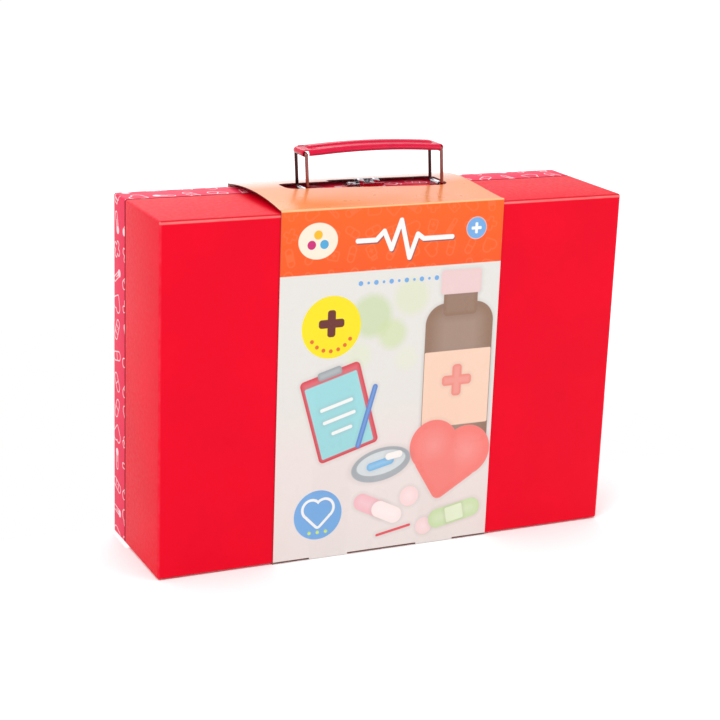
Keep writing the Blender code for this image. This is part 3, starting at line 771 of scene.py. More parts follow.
def base_paper(colours):
    """Red paper with paler edges, partly wear and partly a painted sheen, a painted highlight band below the
    front fold under a painted crease shade, and a painted shadow along the seam.
    """
    finish = Finish("satin red paper", 0.46, Specular_IOR_Level=0.10)
    paper_grain(finish)
    ground = finish.mottle(finish.noise(22, 3), colours.paper, 0.965)
    # Paler edges: partly wear, partly a painted sheen
    edge = near_edge(finish, "base_shell", inner=0.0002, outer=0.0016)
    wear_and_sheen = finish.times(edge, finish.between(finish.noise(160, 4), 0.35, 0.65, 0.15, 0.45))
    ground = finish.mix(wear_and_sheen, ground, ink(colours.edge_tint))
    low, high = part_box("base_shell")
    from_fold = finish.vector("SUBTRACT", finish.place, (0, low.y, high.z))
    _, y, z = finish.separate(finish.vector("MULTIPLY", from_fold, (MM, MM, MM)))
    # A painted highlight band below the front fold, broken up in patches, and above it the painted shade of
    # the crease
    highlight_patches = finish.between(finish.noise(90, 4, stretch=(1, 6, 6)), 0.3, 0.7, 0.55, 1.0)
    band_height, band_half = -1.35, 0.75
    from_band = finish.math("ABSOLUTE", finish.math("SUBTRACT", z, band_height))
    band = finish.cover(finish.math("SUBTRACT", from_band, band_half), 0.5)
    band = finish.times(band, finish.math("LESS_THAN", y, 1.2))
    ground = finish.mix(finish.times(band, highlight_patches), ground, ink(colours.band))
    crease = finish.cover(finish.bar(finish.combine(y, z), (0.60, -0.30), (0.25, -0.60), 0.28), 0.3)
    ground = finish.mix(finish.times(crease, 0.7), ground, ink(colours.fold_shade))
    # Painted shadow along the seam
    finish.colour(finish.mix(seam_shadow_mask(finish, width=0.0006), ground, ink(colours.seam)))
    return finish.material


def printed_paper(name, node, colours):
    """Paper with line drawings, with a painted shadow along the seam."""
    finish = Finish(name, 0.46, Specular_IOR_Level=0.12)
    paper_grain(finish)
    ground = finish.mottle(finish.noise(30, 3), colours.lid_paper, 0.96)
    drawings = small_drawings(finish, wrapped_place(finish, node), 16.5, 0.80)
    printed = finish.paint(ground, colours.lid_ink, drawings, 0.25, 0.92)
    # Painted shadow along the seam
    finish.colour(finish.mix(seam_shadow_mask(finish, width=0.0008), printed, ink(colours.seam)))
    return finish.material


def lining_paper(colours):
    finish = Finish("matt teal lining paper", 0.7, Specular_IOR_Level=0.3)
    fibres = finish.noise(1400, 4, stretch=(1, 1, 0.35))
    finish.colour(finish.mottle(fibres, colours.lining, 0.95, 0.35))
    finish.roughen(finish.noise(300), 0.62, 0.78)
    finish.bump(fibres, strength=0.2, distance=0.00008)
    return finish.material


def bookcloth(colours):
    finish = Finish("red bookcloth", 0.85, Specular_IOR_Level=0.2)
    threads = 9000
    x, y = finish.separate(finish.vector("MULTIPLY", finish.place, (threads, threads, threads)))[:2]
    warp = finish.math("ABSOLUTE", finish.math("SINE", x))
    weft = finish.math("ABSOLUTE", finish.math("SINE", y))
    weave = finish.times(warp, weft)
    fuzz = finish.times(finish.noise(700), 0.5)
    thread = finish.math("ADD", finish.times(weave, 0.7), fuzz)
    finish.colour(finish.mottle(thread, colours.cloth, 0.7, 0.2, 0.9))
    finish.roughen(finish.noise(500), 0.78, 0.92)
    finish.bump(weave, strength=0.6, distance=0.0001)
    return finish.material


def plated_steel(name, screen_colour, low, high, scratch=None):
    finish = Finish(name, low, Metallic=1.0)
    haze = finish.noise(260, 3)
    finish.colour(finish.mottle(haze, screen_colour, 0.9))
    finish.roughen(haze, low, high)
    finish.bump(finish.noise(1800, 2, scratch), strength=0.08, distance=0.00004)
    return finish.material


def bright_steel(colours):
    return plated_steel("bright plated steel", colours.bright_steel, 0.10, 0.20)


def plain_steel(colours):
    return plated_steel("plain zinc plate", colours.plain_steel, 0.30, 0.42, (0.2, 1, 1))


def plated_wire(colours):
    """Plated wire, darkened as a painted reflection of dark surroundings, with a warmer painted reflection of
    the orange card on the front legs.
    """
    finish = Finish("dark plated wire", 0.18, Metallic=1.0)
    y = finish.separate(finish.place)[1]
    axis, reach = joint_place("handle_fold").y, 0.005
    # The front legs get a warmer painted reflection of the orange card
    behind = finish.between(y, axis - reach, axis + reach)
    tint = finish.mix(behind, ink(colours.worn_wire), ink(colours.wire_steel))
    haze = finish.noise(260, 3)
    finish.colour(finish.mix(finish.between(haze, 0.3, 0.7, 0.0, 0.3), tint, ink(colours.wire_steel)))
    finish.roughen(haze, 0.12, 0.24)
    finish.bump(finish.noise(1800, 2), strength=0.08, distance=0.00004)
    return finish.material


def grip_lacquer(colours):
    """Glossy lacquer, painted darker along the grip's lower edges as shade where its sides turn down."""
    sizes = bpy.context.scene.handle_sizes
    gloss = {"Coat_Weight": 0.12, "Coat_Roughness": 0.05, "Specular_IOR_Level": 0.15}
    finish = Finish("glossy red lacquer", 0.25, **gloss)
    ground = finish.mottle(finish.noise(120, 3), colours.lacquer, 0.92)
    end = joint_place("grip_level")
    half = (joint_place("link_right_fold").x - joint_place("handle_fold").x) / 2
    crest = (end.x + half, 0, end.z + sizes.wire + sizes.rise)
    x, _, z = finish.separate(finish.vector("SUBTRACT", finish.place, crest))
    along = finish.math("DIVIDE", x, half)
    arch = finish.times(finish.times(along, along), -sizes.rise)
    drop = finish.math("SUBTRACT", arch, z)
    # Painted shade along the lower edges of the turned-down sides
    low = finish.between(drop, sizes.flange * 0.55, sizes.flange * 0.95)
    finish.colour(finish.mix(low, ground, ink(tuple(level * 0.62 for level in colours.lacquer))))
    finish.roughen(finish.noise(320), 0.14, 0.22)
    finish.bump(finish.noise(260, 1), strength=0.05, distance=0.00005)
    return finish.material


def item(finish, ground, tint, shape, pillow=3.0):
    """Paints a printed thing: a soft shadow round it, its colour, and a lighter middle."""
    shadow = (0.50, 0.46, 0.46)
    ground = finish.paint(ground, shadow, shape, 5.0, 0.30)
    ground = finish.paint(ground, tint, shape, 0.4)
    lit = tuple(level + (1 - level) * 0.35 for level in tint)
    return finish.paint(ground, lit, finish.math("ADD", shape, pillow), pillow * 1.6, 0.7)


def printed_scene(finish, at, ground, inks):
    """A still life of a play clinic: soft lights, a bottle, a clipboard, a bowl, tablets and plasters."""
    for x, z, radius, tint, strength in SOFT_LIGHTS:
        ground = finish.paint(ground, tint, finish.disc(at, (x, z), radius), 5.0, strength)
    height = finish.separate(at)[1]
    ground = finish.paint(ground, inks.table, finish.math("SUBTRACT", height, TABLE_EDGE), 26.0)
    for tint, kind, places, pillow in PRINTED_THINGS:
        shape = finish.join(*(getattr(finish, kind)(at, *place) for place in places))
        ground = item(finish, ground, tint, shape, pillow)
    return ground


def badges(finish, at, ground, inks):
    """A yellow badge with a plus, a blue one with a heart, and a row of blue dots."""
    yellow, blue = (-44.0, 145.3), (-49.0, 28.5)
    ground = finish.paint(ground, inks.yellow, finish.disc(at, yellow, 19.0))
    ground = finish.paint(ground, inks.brown, finish.plus(at, (-44.0, 147.5), 8.2, 5.2))
    for step in range(-3, 4):
        angle = math.radians(270 + step * 19)
        dot = (yellow[0] + 14.6 * math.cos(angle), yellow[1] + 14.6 * math.sin(angle))
        ground = finish.paint(ground, inks.orange, finish.disc(at, dot, 1.25))
    ground = finish.paint(ground, inks.blue, finish.disc(at, blue, 15.7))
    ground = finish.paint(ground, inks.white, finish.line(finish.heart(at, (-49.0, 28.2), 12.0), 1.7))
    for across in (-5.4, 0.0, 5.4):
        ground = finish.paint(ground, inks.lime, finish.disc(at, (blue[0] + across, blue[1] - 11.2), 1.1))
    for step in range(-5, 6):
        mark = (-1.0 + step * 5.0, 170.4)
        ground = finish.paint(ground, inks.blue, finish.disc(at, mark, 1.5 if step % 2 else 0.9))
    return ground


def heartbeat(finish, at, shift):
    points = [(x + shift[0], z + shift[1]) for x, z in HEARTBEAT]
    return finish.join(*(finish.bar(at, start, end, 1.45) for start, end in zip(points, points[1:])))


def header_print(finish, at, ground, inks):
    """The header's front: a heartbeat across the middle, a pale badge and a small blue one."""
    pale, small = (-54.2, 197.6), (49.2, 199.3)
    ground = finish.paint(ground, inks.shade, heartbeat(finish, at, (0.55, -0.75)), 0.3, 0.75)
    ground = finish.paint(ground, inks.white, heartbeat(finish, at, (0, 0)))
    ground = finish.paint(ground, inks.cream, finish.oval(at, pale, (12.4, 10.8)), 0.3)
    for place, tint in BADGE_DOTS:
        ground = finish.paint(ground, tint, finish.disc(at, place, 2.7))
    ground = finish.paint(ground, inks.white, finish.disc(at, small, 6.9), 0.4, 0.5)
    ground = finish.paint(ground, inks.blue, finish.disc(at, small, 6.5))
    return finish.paint(ground, inks.white, finish.plus(at, small, 3.4, 1.9))


def header_colours(finish, y, z, drawings, on_face, inks, sizes):
    """The header's orange with faint drawings, and the bowed top's paler orange without the marks, which is a
    painted sheen that pales towards white at the back.
    """
    fold_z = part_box("card_sleeve")[1].z - sizes.card / 2 - sizes.bow_left
    up = finish.between(z, sizes.header_height * MM, fold_z * MM)
    marks = finish.times(finish.cover(drawings, 0.3), finish.times(on_face, 0.75))
    orange = finish.mix(marks, finish.mix(up, ink(inks.header), ink(inks.header_high)), ink(inks.header_mark))
    # Painted sheen that pales the bowed top towards the back
    top_with_painted_sheen = finish.mix(finish.between(y, -42.0, -16.0), ink(inks.top_front), ink(inks.top))
    top_with_painted_sheen = finish.mix(finish.between(y, 4.0, 38.0), top_with_painted_sheen, ink(inks.top_behind))
    return finish.mix(on_face, top_with_painted_sheen, orange)


def sleeve_print(inks, sizes):
    """The card's printed side: the header, the front's picture and a plain panel behind, in millimetres."""
    gloss = {"Coat_Weight": 0.5, "Coat_Roughness": 0.20, "Specular_IOR_Level": 0.15}
    finish = Finish("glossy printed card", 0.3, **gloss)
    x, y, z = finish.separate(finish.vector("MULTIPLY", finish.place, (MM, MM, MM)))
    at = finish.combine(x, z)
    low, high = (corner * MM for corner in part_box("card_sleeve"))
    fold_z = high.z - (sizes.card / 2 + sizes.bow_left) * MM
    front_skin = 2.5
    drawings = small_drawings(finish, at, 13.0, 1.5)
    picture = badges(finish, at, printed_scene(finish, at, ink(inks.panel), inks), inks)
    plain = finish.paint(ink(inks.panel), inks.blue, drawings, 0.3, 0.3)
    panel = finish.mix(finish.math("GREATER_THAN", y, 0.0), picture, plain)
    from_middle = finish.math("ABSOLUTE", finish.math("SUBTRACT", y, (low.y + high.y) / 2))
    on_face = finish.math("GREATER_THAN", from_middle, (high.y - low.y) / 2 - 0.35)
    orange = header_colours(finish, y, z, drawings, on_face, inks, sizes)
    front = finish.math("LESS_THAN", y, low.y + front_skin)
    titled = header_print(finish, at, orange, inks)
    header = finish.mix(finish.times(front, on_face), orange, titled)
    # Partly cracked ink and partly a painted highlight along the upper fold
    crease = finish.bar(finish.combine(y, z), (low.y, fold_z), (low.y + 0.5, fold_z + 0.5), 0.35)
    header = finish.paint(header, inks.crease, crease, 0.3, 0.8)
    above = finish.cover(finish.math("SUBTRACT", sizes.header_height * MM, z))
    printed = finish.mix(above, panel, header)
    specks = finish.between(finish.noise(900, 3), 0.3, 0.7, 0.975, 1.0)
    finish.colour(finish.mix(specks, ink(inks.speck), printed))
    finish.roughen(finish.noise(60, 2), 0.26, 0.34)
    finish.bump(finish.noise(150, 2), strength=0.03, distance=0.0002)
    return finish.material


def bare_card(name, screen_colour):
    finish = Finish(name, 0.75, Specular_IOR_Level=0.3)
    fibres = finish.noise(1500, 4)
    finish.colour(finish.mottle(fibres, screen_colour, 0.93, 0.35))
    finish.roughen(finish.noise(300), 0.68, 0.82)
    finish.bump(fibres, strength=0.15, distance=0.00006)
    return finish.material


def case_material(make):
    """Makes a material from the case's colours, once."""
    if make.__name__ not in shared:
        shared[make.__name__] = make(bpy.context.scene.case_colours)
    return shared[make.__name__]


# Case


def make_tray(name, node, body, outward, paper):
    """A board tray: a block with rounded outer edges, hollowed from its rim, with a soft rim and holes."""
    sizes = bpy.context.scene.case_sizes
    board = sizes.board
    low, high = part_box(node)
    rim = high.y if outward > 0 else low.y
    middle = (low + high) / 2
    half_height = (high.z - low.z) / 2
    tray = add_block(name, low, high)

    def outer_fold(start, end):
        return min((start.y - middle.y) * outward, (end.y - middle.y) * outward) < 0

    pick(tray, "EDGE", outer_fold)
    bevel(sizes.outer_edge, 6)
    floor = low.y + board if outward > 0 else high.y - board
    near, far = sorted((floor, rim + outward * OVERRUN))
    hollow_low = (low.x + board, near, low.z + board)
    cut(tray, add_block("hollow", hollow_low, (high.x - board, far, high.z - board)))

    def on_outline(co):
        """Whether a point of the rim lies on its outer outline."""
        return min(high.x - abs(co.x), half_height - abs(co.z - middle.z)) < board - CLOSE

    def rim_outline(start, end):
        return all(abs(e.y - rim) < CLOSE for e in (start, end)) and on_outline(start) == on_outline(end)

    pick(tray, "EDGE", rim_outline)
    bevel(sizes.rim_edge, 3)
    leave_edit()
    for tool in through_holes(body):
        cut(tray, tool)
    strip_low, strip_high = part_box("hinge_strip_base" if outward > 0 else "hinge_strip_lid")
    glued = strip_low.y - GLUE_GAP if outward > 0 else strip_high.y + GLUE_GAP
    near, far = sorted((glued, joint_place("lid_hinge").y + outward * OVERRUN))
    rebate_low = (strip_low.x - GLUE_GAP, near, low.z - OVERRUN)
    rebate_high = (strip_high.x + GLUE_GAP, far, strip_high.z + GLUE_GAP)
    cut(tray, add_block("rebate", rebate_low, rebate_high))
    hand_over(tray, body, node, paper, node)


def strap_hole(joint, bottom, top):
    """A tool for the hole that the strap of a link passes through."""
    sizes = bpy.context.scene.handle_sizes
    place = joint_place(joint)
    across = sizes.wire / 2 + sizes.clip_gap + sizes.clip_sheet + HOLE_PLAY
    along = sizes.clip_width / 2 + HOLE_PLAY
    low = (place.x - across, place.y - along, bottom)
    return add_block("hole", low, (place.x + across, place.y + along, top))


def through_holes(body):
    """Tools for the holes that the straps and the rivets need in a tray and its lining."""
    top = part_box("base_shell")[1].z
    depth = 0.006
    straps = ("handle_fold", "link_right_fold") if body == "base" else ()
    tools = [strap_hole(joint, top - depth, top + OVERRUN) for joint in straps]
    for node in RIVETS[body]:
        low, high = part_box(node)
        middle = (low + high) / 2
        tools.append(add_rod("hole", (middle.x, middle.y, top), RIVET_HOLE, depth * 2, 24))
    return tools


def make_lining(name, node, body, outward):
    """A paper tray inside the board one, with soft corners and a margin below the rim."""
    sizes = bpy.context.scene.case_sizes
    low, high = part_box(node)
    if outward > 0:
        high.y -= sizes.lining_margin
    else:
        low.y += sizes.lining_margin
    mouth = high.y if outward > 0 else low.y
    lining = add_block(name, low, high)
    pick(lining, "FACE", lambda centre, normal: normal.y * outward > 0.5)
    bpy.ops.mesh.delete(type="ONLY_FACE")
    pick(lining, "EDGE", lambda start, end: max(abs(e.y - mouth) for e in (start, end)) > CLOSE)
    bevel(sizes.lining_corner, 4)
    leave_edit()
    thicken(lining, sizes.lining, -1.0)
    for tool in through_holes(body):
        cut(lining, tool)
    hand_over(lining, body, node, case_material(lining_paper), node)


def make_collar():
    """The strip inside the base's rim, bent round the corners and notched round the fittings."""
    sizes = bpy.context.scene.case_sizes
    low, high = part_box("rim_collar")
    half, corner = sizes.collar / 2, sizes.collar_corner
    left, right, top = low.x + half, high.x - half, high.z - half
    path = [(left, low.z)]
    path += arc((left + corner, top - corner), corner, 180, 90, 6)
    path += arc((right - corner, top - corner), corner, 90, 0, 6)
    path.append((right, low.z))
    collar = bend_strip("collar", path, low.y, high.y, "XZ")
    thicken(collar, sizes.collar)
    for nodes in (["clip_backing_left"], ["clip_backing_right"], ["catch_rivet_left", "catch_rivet_right"]):
        boxes = [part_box(node) for node in nodes]
        near = min(box[0].x for box in boxes) - NOTCH_PLAY
        far = max(box[1].x for box in boxes) + NOTCH_PLAY
        back = max(box[1].y for box in boxes) + NOTCH_PLAY
        notch_low = (near, low.y - OVERRUN, high.z - sizes.notch_depth)
        cut(collar, add_block("notch", notch_low, (far, back, high.z + OVERRUN)))
    soften(collar, sizes.collar_edge, 2, 60)
    paper = printed_paper("printed collar paper", "rim_collar", bpy.context.scene.case_colours)
    hand_over(collar, "base", "rim_collar", paper, "rim_collar")


def make_hinge_cloth():
    """One strip of bookcloth that dips into the seam."""
    sizes = bpy.context.scene.case_sizes
    low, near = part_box("hinge_strip_base")[0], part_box("hinge_strip_base")[1].z
    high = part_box("hinge_strip_lid")[1]
    seam = joint_place("lid_hinge")
    middle = (low.z + near) / 2
    fold_reach, dip_reach, steps = 0.0016, 0.0004, 12
    path = [(low.y, middle)]
    for step in range(-steps, steps + 1):
        y = fold_reach * step / steps
        path.append((seam.y + y, middle + sizes.cloth_dip * math.exp(-((y / dip_reach) ** 2))))
    path.append((high.y, middle))
    cloth = bend_strip("hinge_cloth", path, low.x, high.x, "YZ")
    thicken(cloth, sizes.cloth * 0.9)
    smooth(cloth)
    cloth.data.materials.append(case_material(bookcloth))
    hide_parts("hinge_strip_base", "hinge_strip_lid")
    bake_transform(cloth)


# Handle


def make_link(side, joint):
    """A wire bent into a rectangle by extruding and spinning a circle. Its ends meet inside the clip."""
    sizes = bpy.context.scene.handle_sizes
    bend = sizes.bend
    out, up = sizes.depth / 2 - bend, sizes.height - bend
    end = out - sizes.butt_gap / 2
    clear_selection()
    bpy.ops.mesh.primitive_circle_add(
        vertices=20,
        radius=sizes.wire / 2,
        location=(0, sizes.butt_gap / 2, 0),
        rotation=(math.radians(90), 0, 0),
    )
    link = named(f"link_{side}")
    pick(link, "VERT", lambda co: True)
    legs = [
        ((0, end, 0), (0, out, bend)),
        ((0, 0, up - bend), (0, out, up)),
        ((0, -out * 2, 0), (0, -out, up)),
        ((0, 0, bend - up), (0, -out, bend)),
    ]
    for step, corner in legs:
        extrude(step)
        bpy.ops.mesh.spin(center=corner, steps=8, angle=math.radians(-90), axis=(1, 0, 0))
    extrude((0, end, 0))
    bpy.ops.mesh.select_all(action="SELECT")
    bpy.ops.mesh.remove_doubles(threshold=CLOSE)
    bpy.ops.mesh.fill_holes(sides=0)
    bpy.ops.mesh.normals_make_consistent(inside=False)
    leave_edit()
    link.location = joint_place(joint)
    link.rotation_euler = (0, -sizes.lean, 0)
    settle(link)
    hand_over(link, f"link_{side}", "chromed_steel", case_material(plated_wire), f"handle_link_{side}")


def make_clip(side, joint):
    """A strap over a link's lower bar, through the wall, with its tails spread inside."""
    sizes = bpy.context.scene.handle_sizes
    place = joint_place(joint)
    radius = sizes.wire / 2 + sizes.clip_gap + sizes.clip_sheet / 2
    tail_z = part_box(f"handle_clip_{side}")[0].z + sizes.clip_sheet / 2
    fold = sizes.clip_fold
    over = arc((place.x, place.z), radius, 180, 0, 16)
    left = arc((place.x - radius - fold, tail_z + fold), fold, -90, 0, 4)
    right = arc((place.x + radius + fold, tail_z + fold), fold, 180, 270, 4)
    path = [(place.x - radius - sizes.clip_tail, tail_z), *left, *over, *right]
    path.append((place.x + radius + sizes.clip_tail, tail_z))
    half = sizes.clip_width / 2
    clip = bend_strip(f"clip_{side}", path, place.y - half, place.y + half, "XZ")
    thicken(clip, sizes.clip_sheet)
    soften(clip, sizes.clip_edge, 3, 60)
    hand_over_steel(clip, "base", f"handle_clip_{side}")


def make_backing(side, joint):
    """A zinc plate with rounded corners that a clip's tails are spread over."""
    sizes = bpy.context.scene.handle_sizes
    node = f"clip_backing_{side}"
    low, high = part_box(node)
    plate = add_block(f"backing_{side}", low, high)
    round_uprights(plate, sizes.backing_corner, 5)
    cut(plate, strap_hole(joint, low.z - OVERRUN / 2, high.z + OVERRUN / 2))
    soften(plate, sizes.backing_edge, 2)
    hand_over(plate, "base", "backing_steel", case_material(plain_steel), node)


def make_grip():
    """A pressed grip: a strip rolled round both wires, with a rib pushed up and folded sides."""
    sizes = bpy.context.scene.handle_sizes
    left = joint_place("grip_level")
    half = (joint_place("link_right_fold").x - joint_place("handle_fold").x) / 2
    middle = left + Vector((half, 0, 0))
    roll = sizes.wire / 2 + sizes.grip_gap + sizes.grip_sheet / 2
    shoulder = half - sizes.tab
    formed = shoulder - sizes.taper

    def arch(x):
        return roll + sizes.rise * (1 - (x / shoulder) ** 2)

    rolled = arc((-half, 0), roll, 345, 90, 16)
    steps = 24
    tapered = [shoulder - sizes.taper * part for part in (0.65, 0.3, 0)]
    formed_stations = [formed * (2 * step / steps - 1) for step in range(steps + 1)]
    stations = [-x for x in tapered[::-1]] + formed_stations + tapered
    path = rolled + [(x, arch(x)) for x in stations] + [(-x, z) for x, z in rolled[::-1]]
    path = [(x + middle.x, z + middle.z) for x, z in path]
    flat = (sizes.depth - sizes.wire) / 2 - sizes.grip_side_gap
    grip = bend_strip("grip", path, middle.y - flat, middle.y + flat, "XZ")
    foot, crest = sizes.rib_width / 2, sizes.rib_width / 4
    shares = [0.0, 0.2, 0.4, 0.6, 0.8, 1.0]
    for sign in (-1, 1):
        for part in shares:
            slice_through(grip, (0, middle.y + sign * (foot - (foot - crest) * part), 0), (0, 1, 0))

    def inside(co, reach):
        return abs(co.x - middle.x) < reach + CLOSE and co.z > middle.z + roll

    for part in shares[1:]:
        y = foot - (foot - crest) * part
        push = sizes.rib_height * (1 - math.cos(math.pi * part)) / 2
        move_points(
            grip, lambda co: inside(co, formed) and abs(abs(co.y - middle.y) - y) < CLOSE * 5, (0, 0, push)
        )
    side = sizes.depth / 2 + sizes.wire / 2 + sizes.grip_side_gap + sizes.grip_sheet / 2
    fold = sizes.fold
    for sign in (-1, 1):
        edge_y = middle.y + sign * flat

        def along_side(start, end):
            return all(abs(e.y - edge_y) < CLOSE and inside(e, formed) for e in (start, end))

        pick(grip, "EDGE", along_side)
        rounded = arc((side - fold, -fold), fold, 90, 0, 6)
        profile = [(flat, 0), *rounded, (side, -(sizes.flange - sizes.grip_sheet / 2))]
        for (y, z), (next_y, next_z) in zip(profile, profile[1:]):
            extrude((0, sign * (next_y - y), next_z - z))
    shape_grip_ends(grip, middle, formed, flat)
    thicken(grip, sizes.grip_sheet)
    soften(grip, sizes.grip_edge, 3, 50)
    hand_over(grip, "grip", "grip_lacquer", case_material(grip_lacquer), "handle_grip", angle=40)


def shape_grip_ends(grip, middle, formed, flat):
    """Draws the flanges' ends out along the grip's taper, a little less towards their lower edges."""
    sizes = bpy.context.scene.handle_sizes
    slope = 0.05
    for sign in (-1, 1):
        edge_x = middle.x + sign * formed

        def at_end(co):
            return (co.x - edge_x) * sign > -CLOSE and abs(co.y - middle.y) > flat + CLOSE

        activate(grip)
        ends = [v.co for v in grip.data.vertices if at_end(v.co) and abs(v.co.x - edge_x) < CLOSE * 10]
        heights = sorted({round(co.z, 5) for co in ends})
        for height in heights:
            drop = min((heights[-1] - height) / sizes.flange, 1.0)
            shift = sizes.taper * (1.0 - slope * drop)
            move_points(grip, lambda co: at_end(co) and abs(co.z - height) < CLOSE * 2, (sign * shift, 0, 0))
    leave_edit()


# Clasp


def make_rivet(node, body):
    """A rivet with a domed and dimpled head, its shank and the end that is spread inside."""
    sizes = bpy.context.scene.clasp_sizes
    low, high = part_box(node)
    middle = (low + high) / 2
    radius = (high.x - low.x) / 2
    head, spread = sizes.rivet_head, sizes.rivet_end
    rivet = add_rod(node.replace("rivet", "eyelet"), (middle.x, middle.y, high.z - head / 2), radius, head)
    pick(rivet, "EDGE", lambda start, end: min(start.z, end.z) > high.z - CLOSE)
    bevel(head * 0.7, 5)
    pick(rivet, "FACE", lambda centre, normal: normal.z > 0.99 and centre.z > high.z - CLOSE)
    bpy.ops.mesh.inset(thickness=radius * 0.12, depth=0.0)
    extrude((0, 0, -sizes.rivet_dimple))
    pick(rivet, "FACE", lambda centre, normal: normal.z < -0.99)
    bpy.ops.mesh.inset(thickness=radius - RIVET_SHANK, depth=0.0)
    extrude((0, 0, -(high.z - head - low.z - spread)))
    leave_edit()
    end = add_rod("spread_end", (middle.x, middle.y, low.z + spread / 2), radius, spread)
    soften(end, sizes.edge, 2)
    cut(rivet, end, "UNION")
    hand_over_steel(rivet, body, node)


def make_catch():
    """The catch: a plate with rounded corners, a window and a tab that is struck up from it."""
    sizes = bpy.context.scene.clasp_sizes
    low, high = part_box("catch_plate")
    plate = add_block("catch", low, (high.x, high.y, low.z + sizes.sheet))
    round_uprights(plate, sizes.catch_corner, 6)
    centre = (low.x + high.x) / 2
    bar_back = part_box("hasp")[0].y + sizes.sheet / 2 + sizes.lip + sizes.bar
    tab_front = bar_back + sizes.play
    tab_back = tab_front + sizes.tab_length
    reach = sizes.tab_width / 2 + sizes.play
    window_low = (centre - reach, bar_back, low.z - OVERRUN / 2)
    cut(plate, add_block("window", window_low, (centre + reach, tab_back, high.z)))
    soften(plate, sizes.edge, 2)
    level = low.z + sizes.sheet / 2
    path = [(tab_back + sizes.sheet, level), (tab_back - sizes.sheet, level)]
    path.append((tab_front + sizes.sheet / 2, level + sizes.tab_height))
    half = sizes.tab_width / 2
    tab = bend_strip("tab", path, centre - half, centre + half, "YZ")
    thicken(tab, sizes.sheet * 0.9)
    soften(tab, sizes.edge, 2, 60)
    cut(plate, tab, "UNION")
    hand_over_steel(plate, "base", "catch_plate")


def make_hasp():
    """The swinging plate of the clasp: knuckle, camber, window and finger lip."""
    sizes = bpy.context.scene.clasp_sizes
    low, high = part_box("hasp")
    pin = joint_place("hasp_hinge")
    radius = sizes.pin_radius + sizes.pin_gap + sizes.sheet / 2
    front = low.y + sizes.sheet / 2
    reach = pin.y - front
    top = pin.z + radius
    bar_z = top - sizes.sheet
    span = reach - sizes.lip
    path = arc((pin.y, pin.z), radius, -190, 90, 24)
    steps = 16
    for step in range(1, steps + 1):
        part = step / steps
        rise = sizes.camber * math.sin(math.pi * part)
        path.append((pin.y - span * part, top + (bar_z - top) * part + rise))
    path += [(front + sizes.lip / 3, bar_z + sizes.lip / 3), (front, bar_z + sizes.lip)]
    hasp = bend_strip("hasp_plate", path, low.x, high.x, "YZ")
    thicken(hasp, sizes.sheet)
    side = (high.x - low.x - sizes.knuckle_width) / 2
    notch_front, notch_back = pin.y - radius - sizes.sheet, pin.y + radius + OVERRUN
    for near, far in ((low.x - OVERRUN, low.x + side), (high.x - side, high.x + OVERRUN)):
        notch_low = (near, notch_front, pin.z - OVERRUN * 2)
        cut(hasp, add_block("notch", notch_low, (far, notch_back, top + sizes.lip)))
    centre = (low.x + high.x) / 2
    window_front = front + sizes.lip + sizes.bar
    half = sizes.window_width / 2
    window = add_block(
        "window",
        (centre - half, window_front, pin.z - OVERRUN),
        (centre + half, window_front + sizes.window_depth, top + sizes.lip * 2),
    )
    round_uprights(window, sizes.window_corner, 4)
    cut(hasp, window)
    soften(hasp, sizes.edge, 2, 60)
    hand_over_steel(hasp, "hasp", "hasp")


def make_lid_plate():
    """The clasp's plate on the lid, rolled into two knuckles, and the pin through them."""
    sizes = bpy.context.scene.clasp_sizes
    low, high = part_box("lid_plate")
    pin = joint_place("hasp_hinge")
    radius = sizes.pin_radius + sizes.pin_gap + sizes.sheet / 2
    path = arc((pin.y, pin.z), radius, -10, 270, 24)
    path.append((high.y, pin.z - radius))
    plate = bend_strip("lid_hinge_plate", path, low.x, high.x, "YZ")
    thicken(plate, sizes.sheet)
    reach = sizes.knuckle_width / 2 + HOLE_PLAY
    centre = (low.x + high.x) / 2
    space = add_block(
        "space",
        (centre - reach, pin.y - radius - OVERRUN, low.z - OVERRUN / 2),
        (centre + reach, pin.y + radius + sizes.sheet, pin.z + radius + OVERRUN),
    )
    cut(plate, space)

    def back_corner(start, end):
        return min(start.y, end.y) > high.y - CLOSE * 10 and abs(start.z - end.z) > CLOSE * 10

    pick(plate, "EDGE", back_corner)
    bevel(sizes.lid_plate_corner, 5)
    leave_edit()
    soften(plate, sizes.edge, 2, 60)
    hand_over_steel(plate, "lid", "lid_plate")
    pin_low, pin_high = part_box("hasp_pin")
    head_width, lying = sizes.pin_head, (0, math.radians(90), 0)
    rod = add_rod("pin", pin, sizes.pin_radius, pin_high.x - pin_low.x, 24, lying)
    for end in (pin_low.x + head_width / 2, pin_high.x - head_width / 2):
        head = add_rod("head", (end, pin.y, pin.z), (pin_high.z - pin_low.z) / 2, head_width, 24, lying)
        soften(head, sizes.pin_head_edge, 3)
        cut(rod, head, "UNION")
    hand_over_steel(rod, "lid", "hasp_pin")


# Sleeve


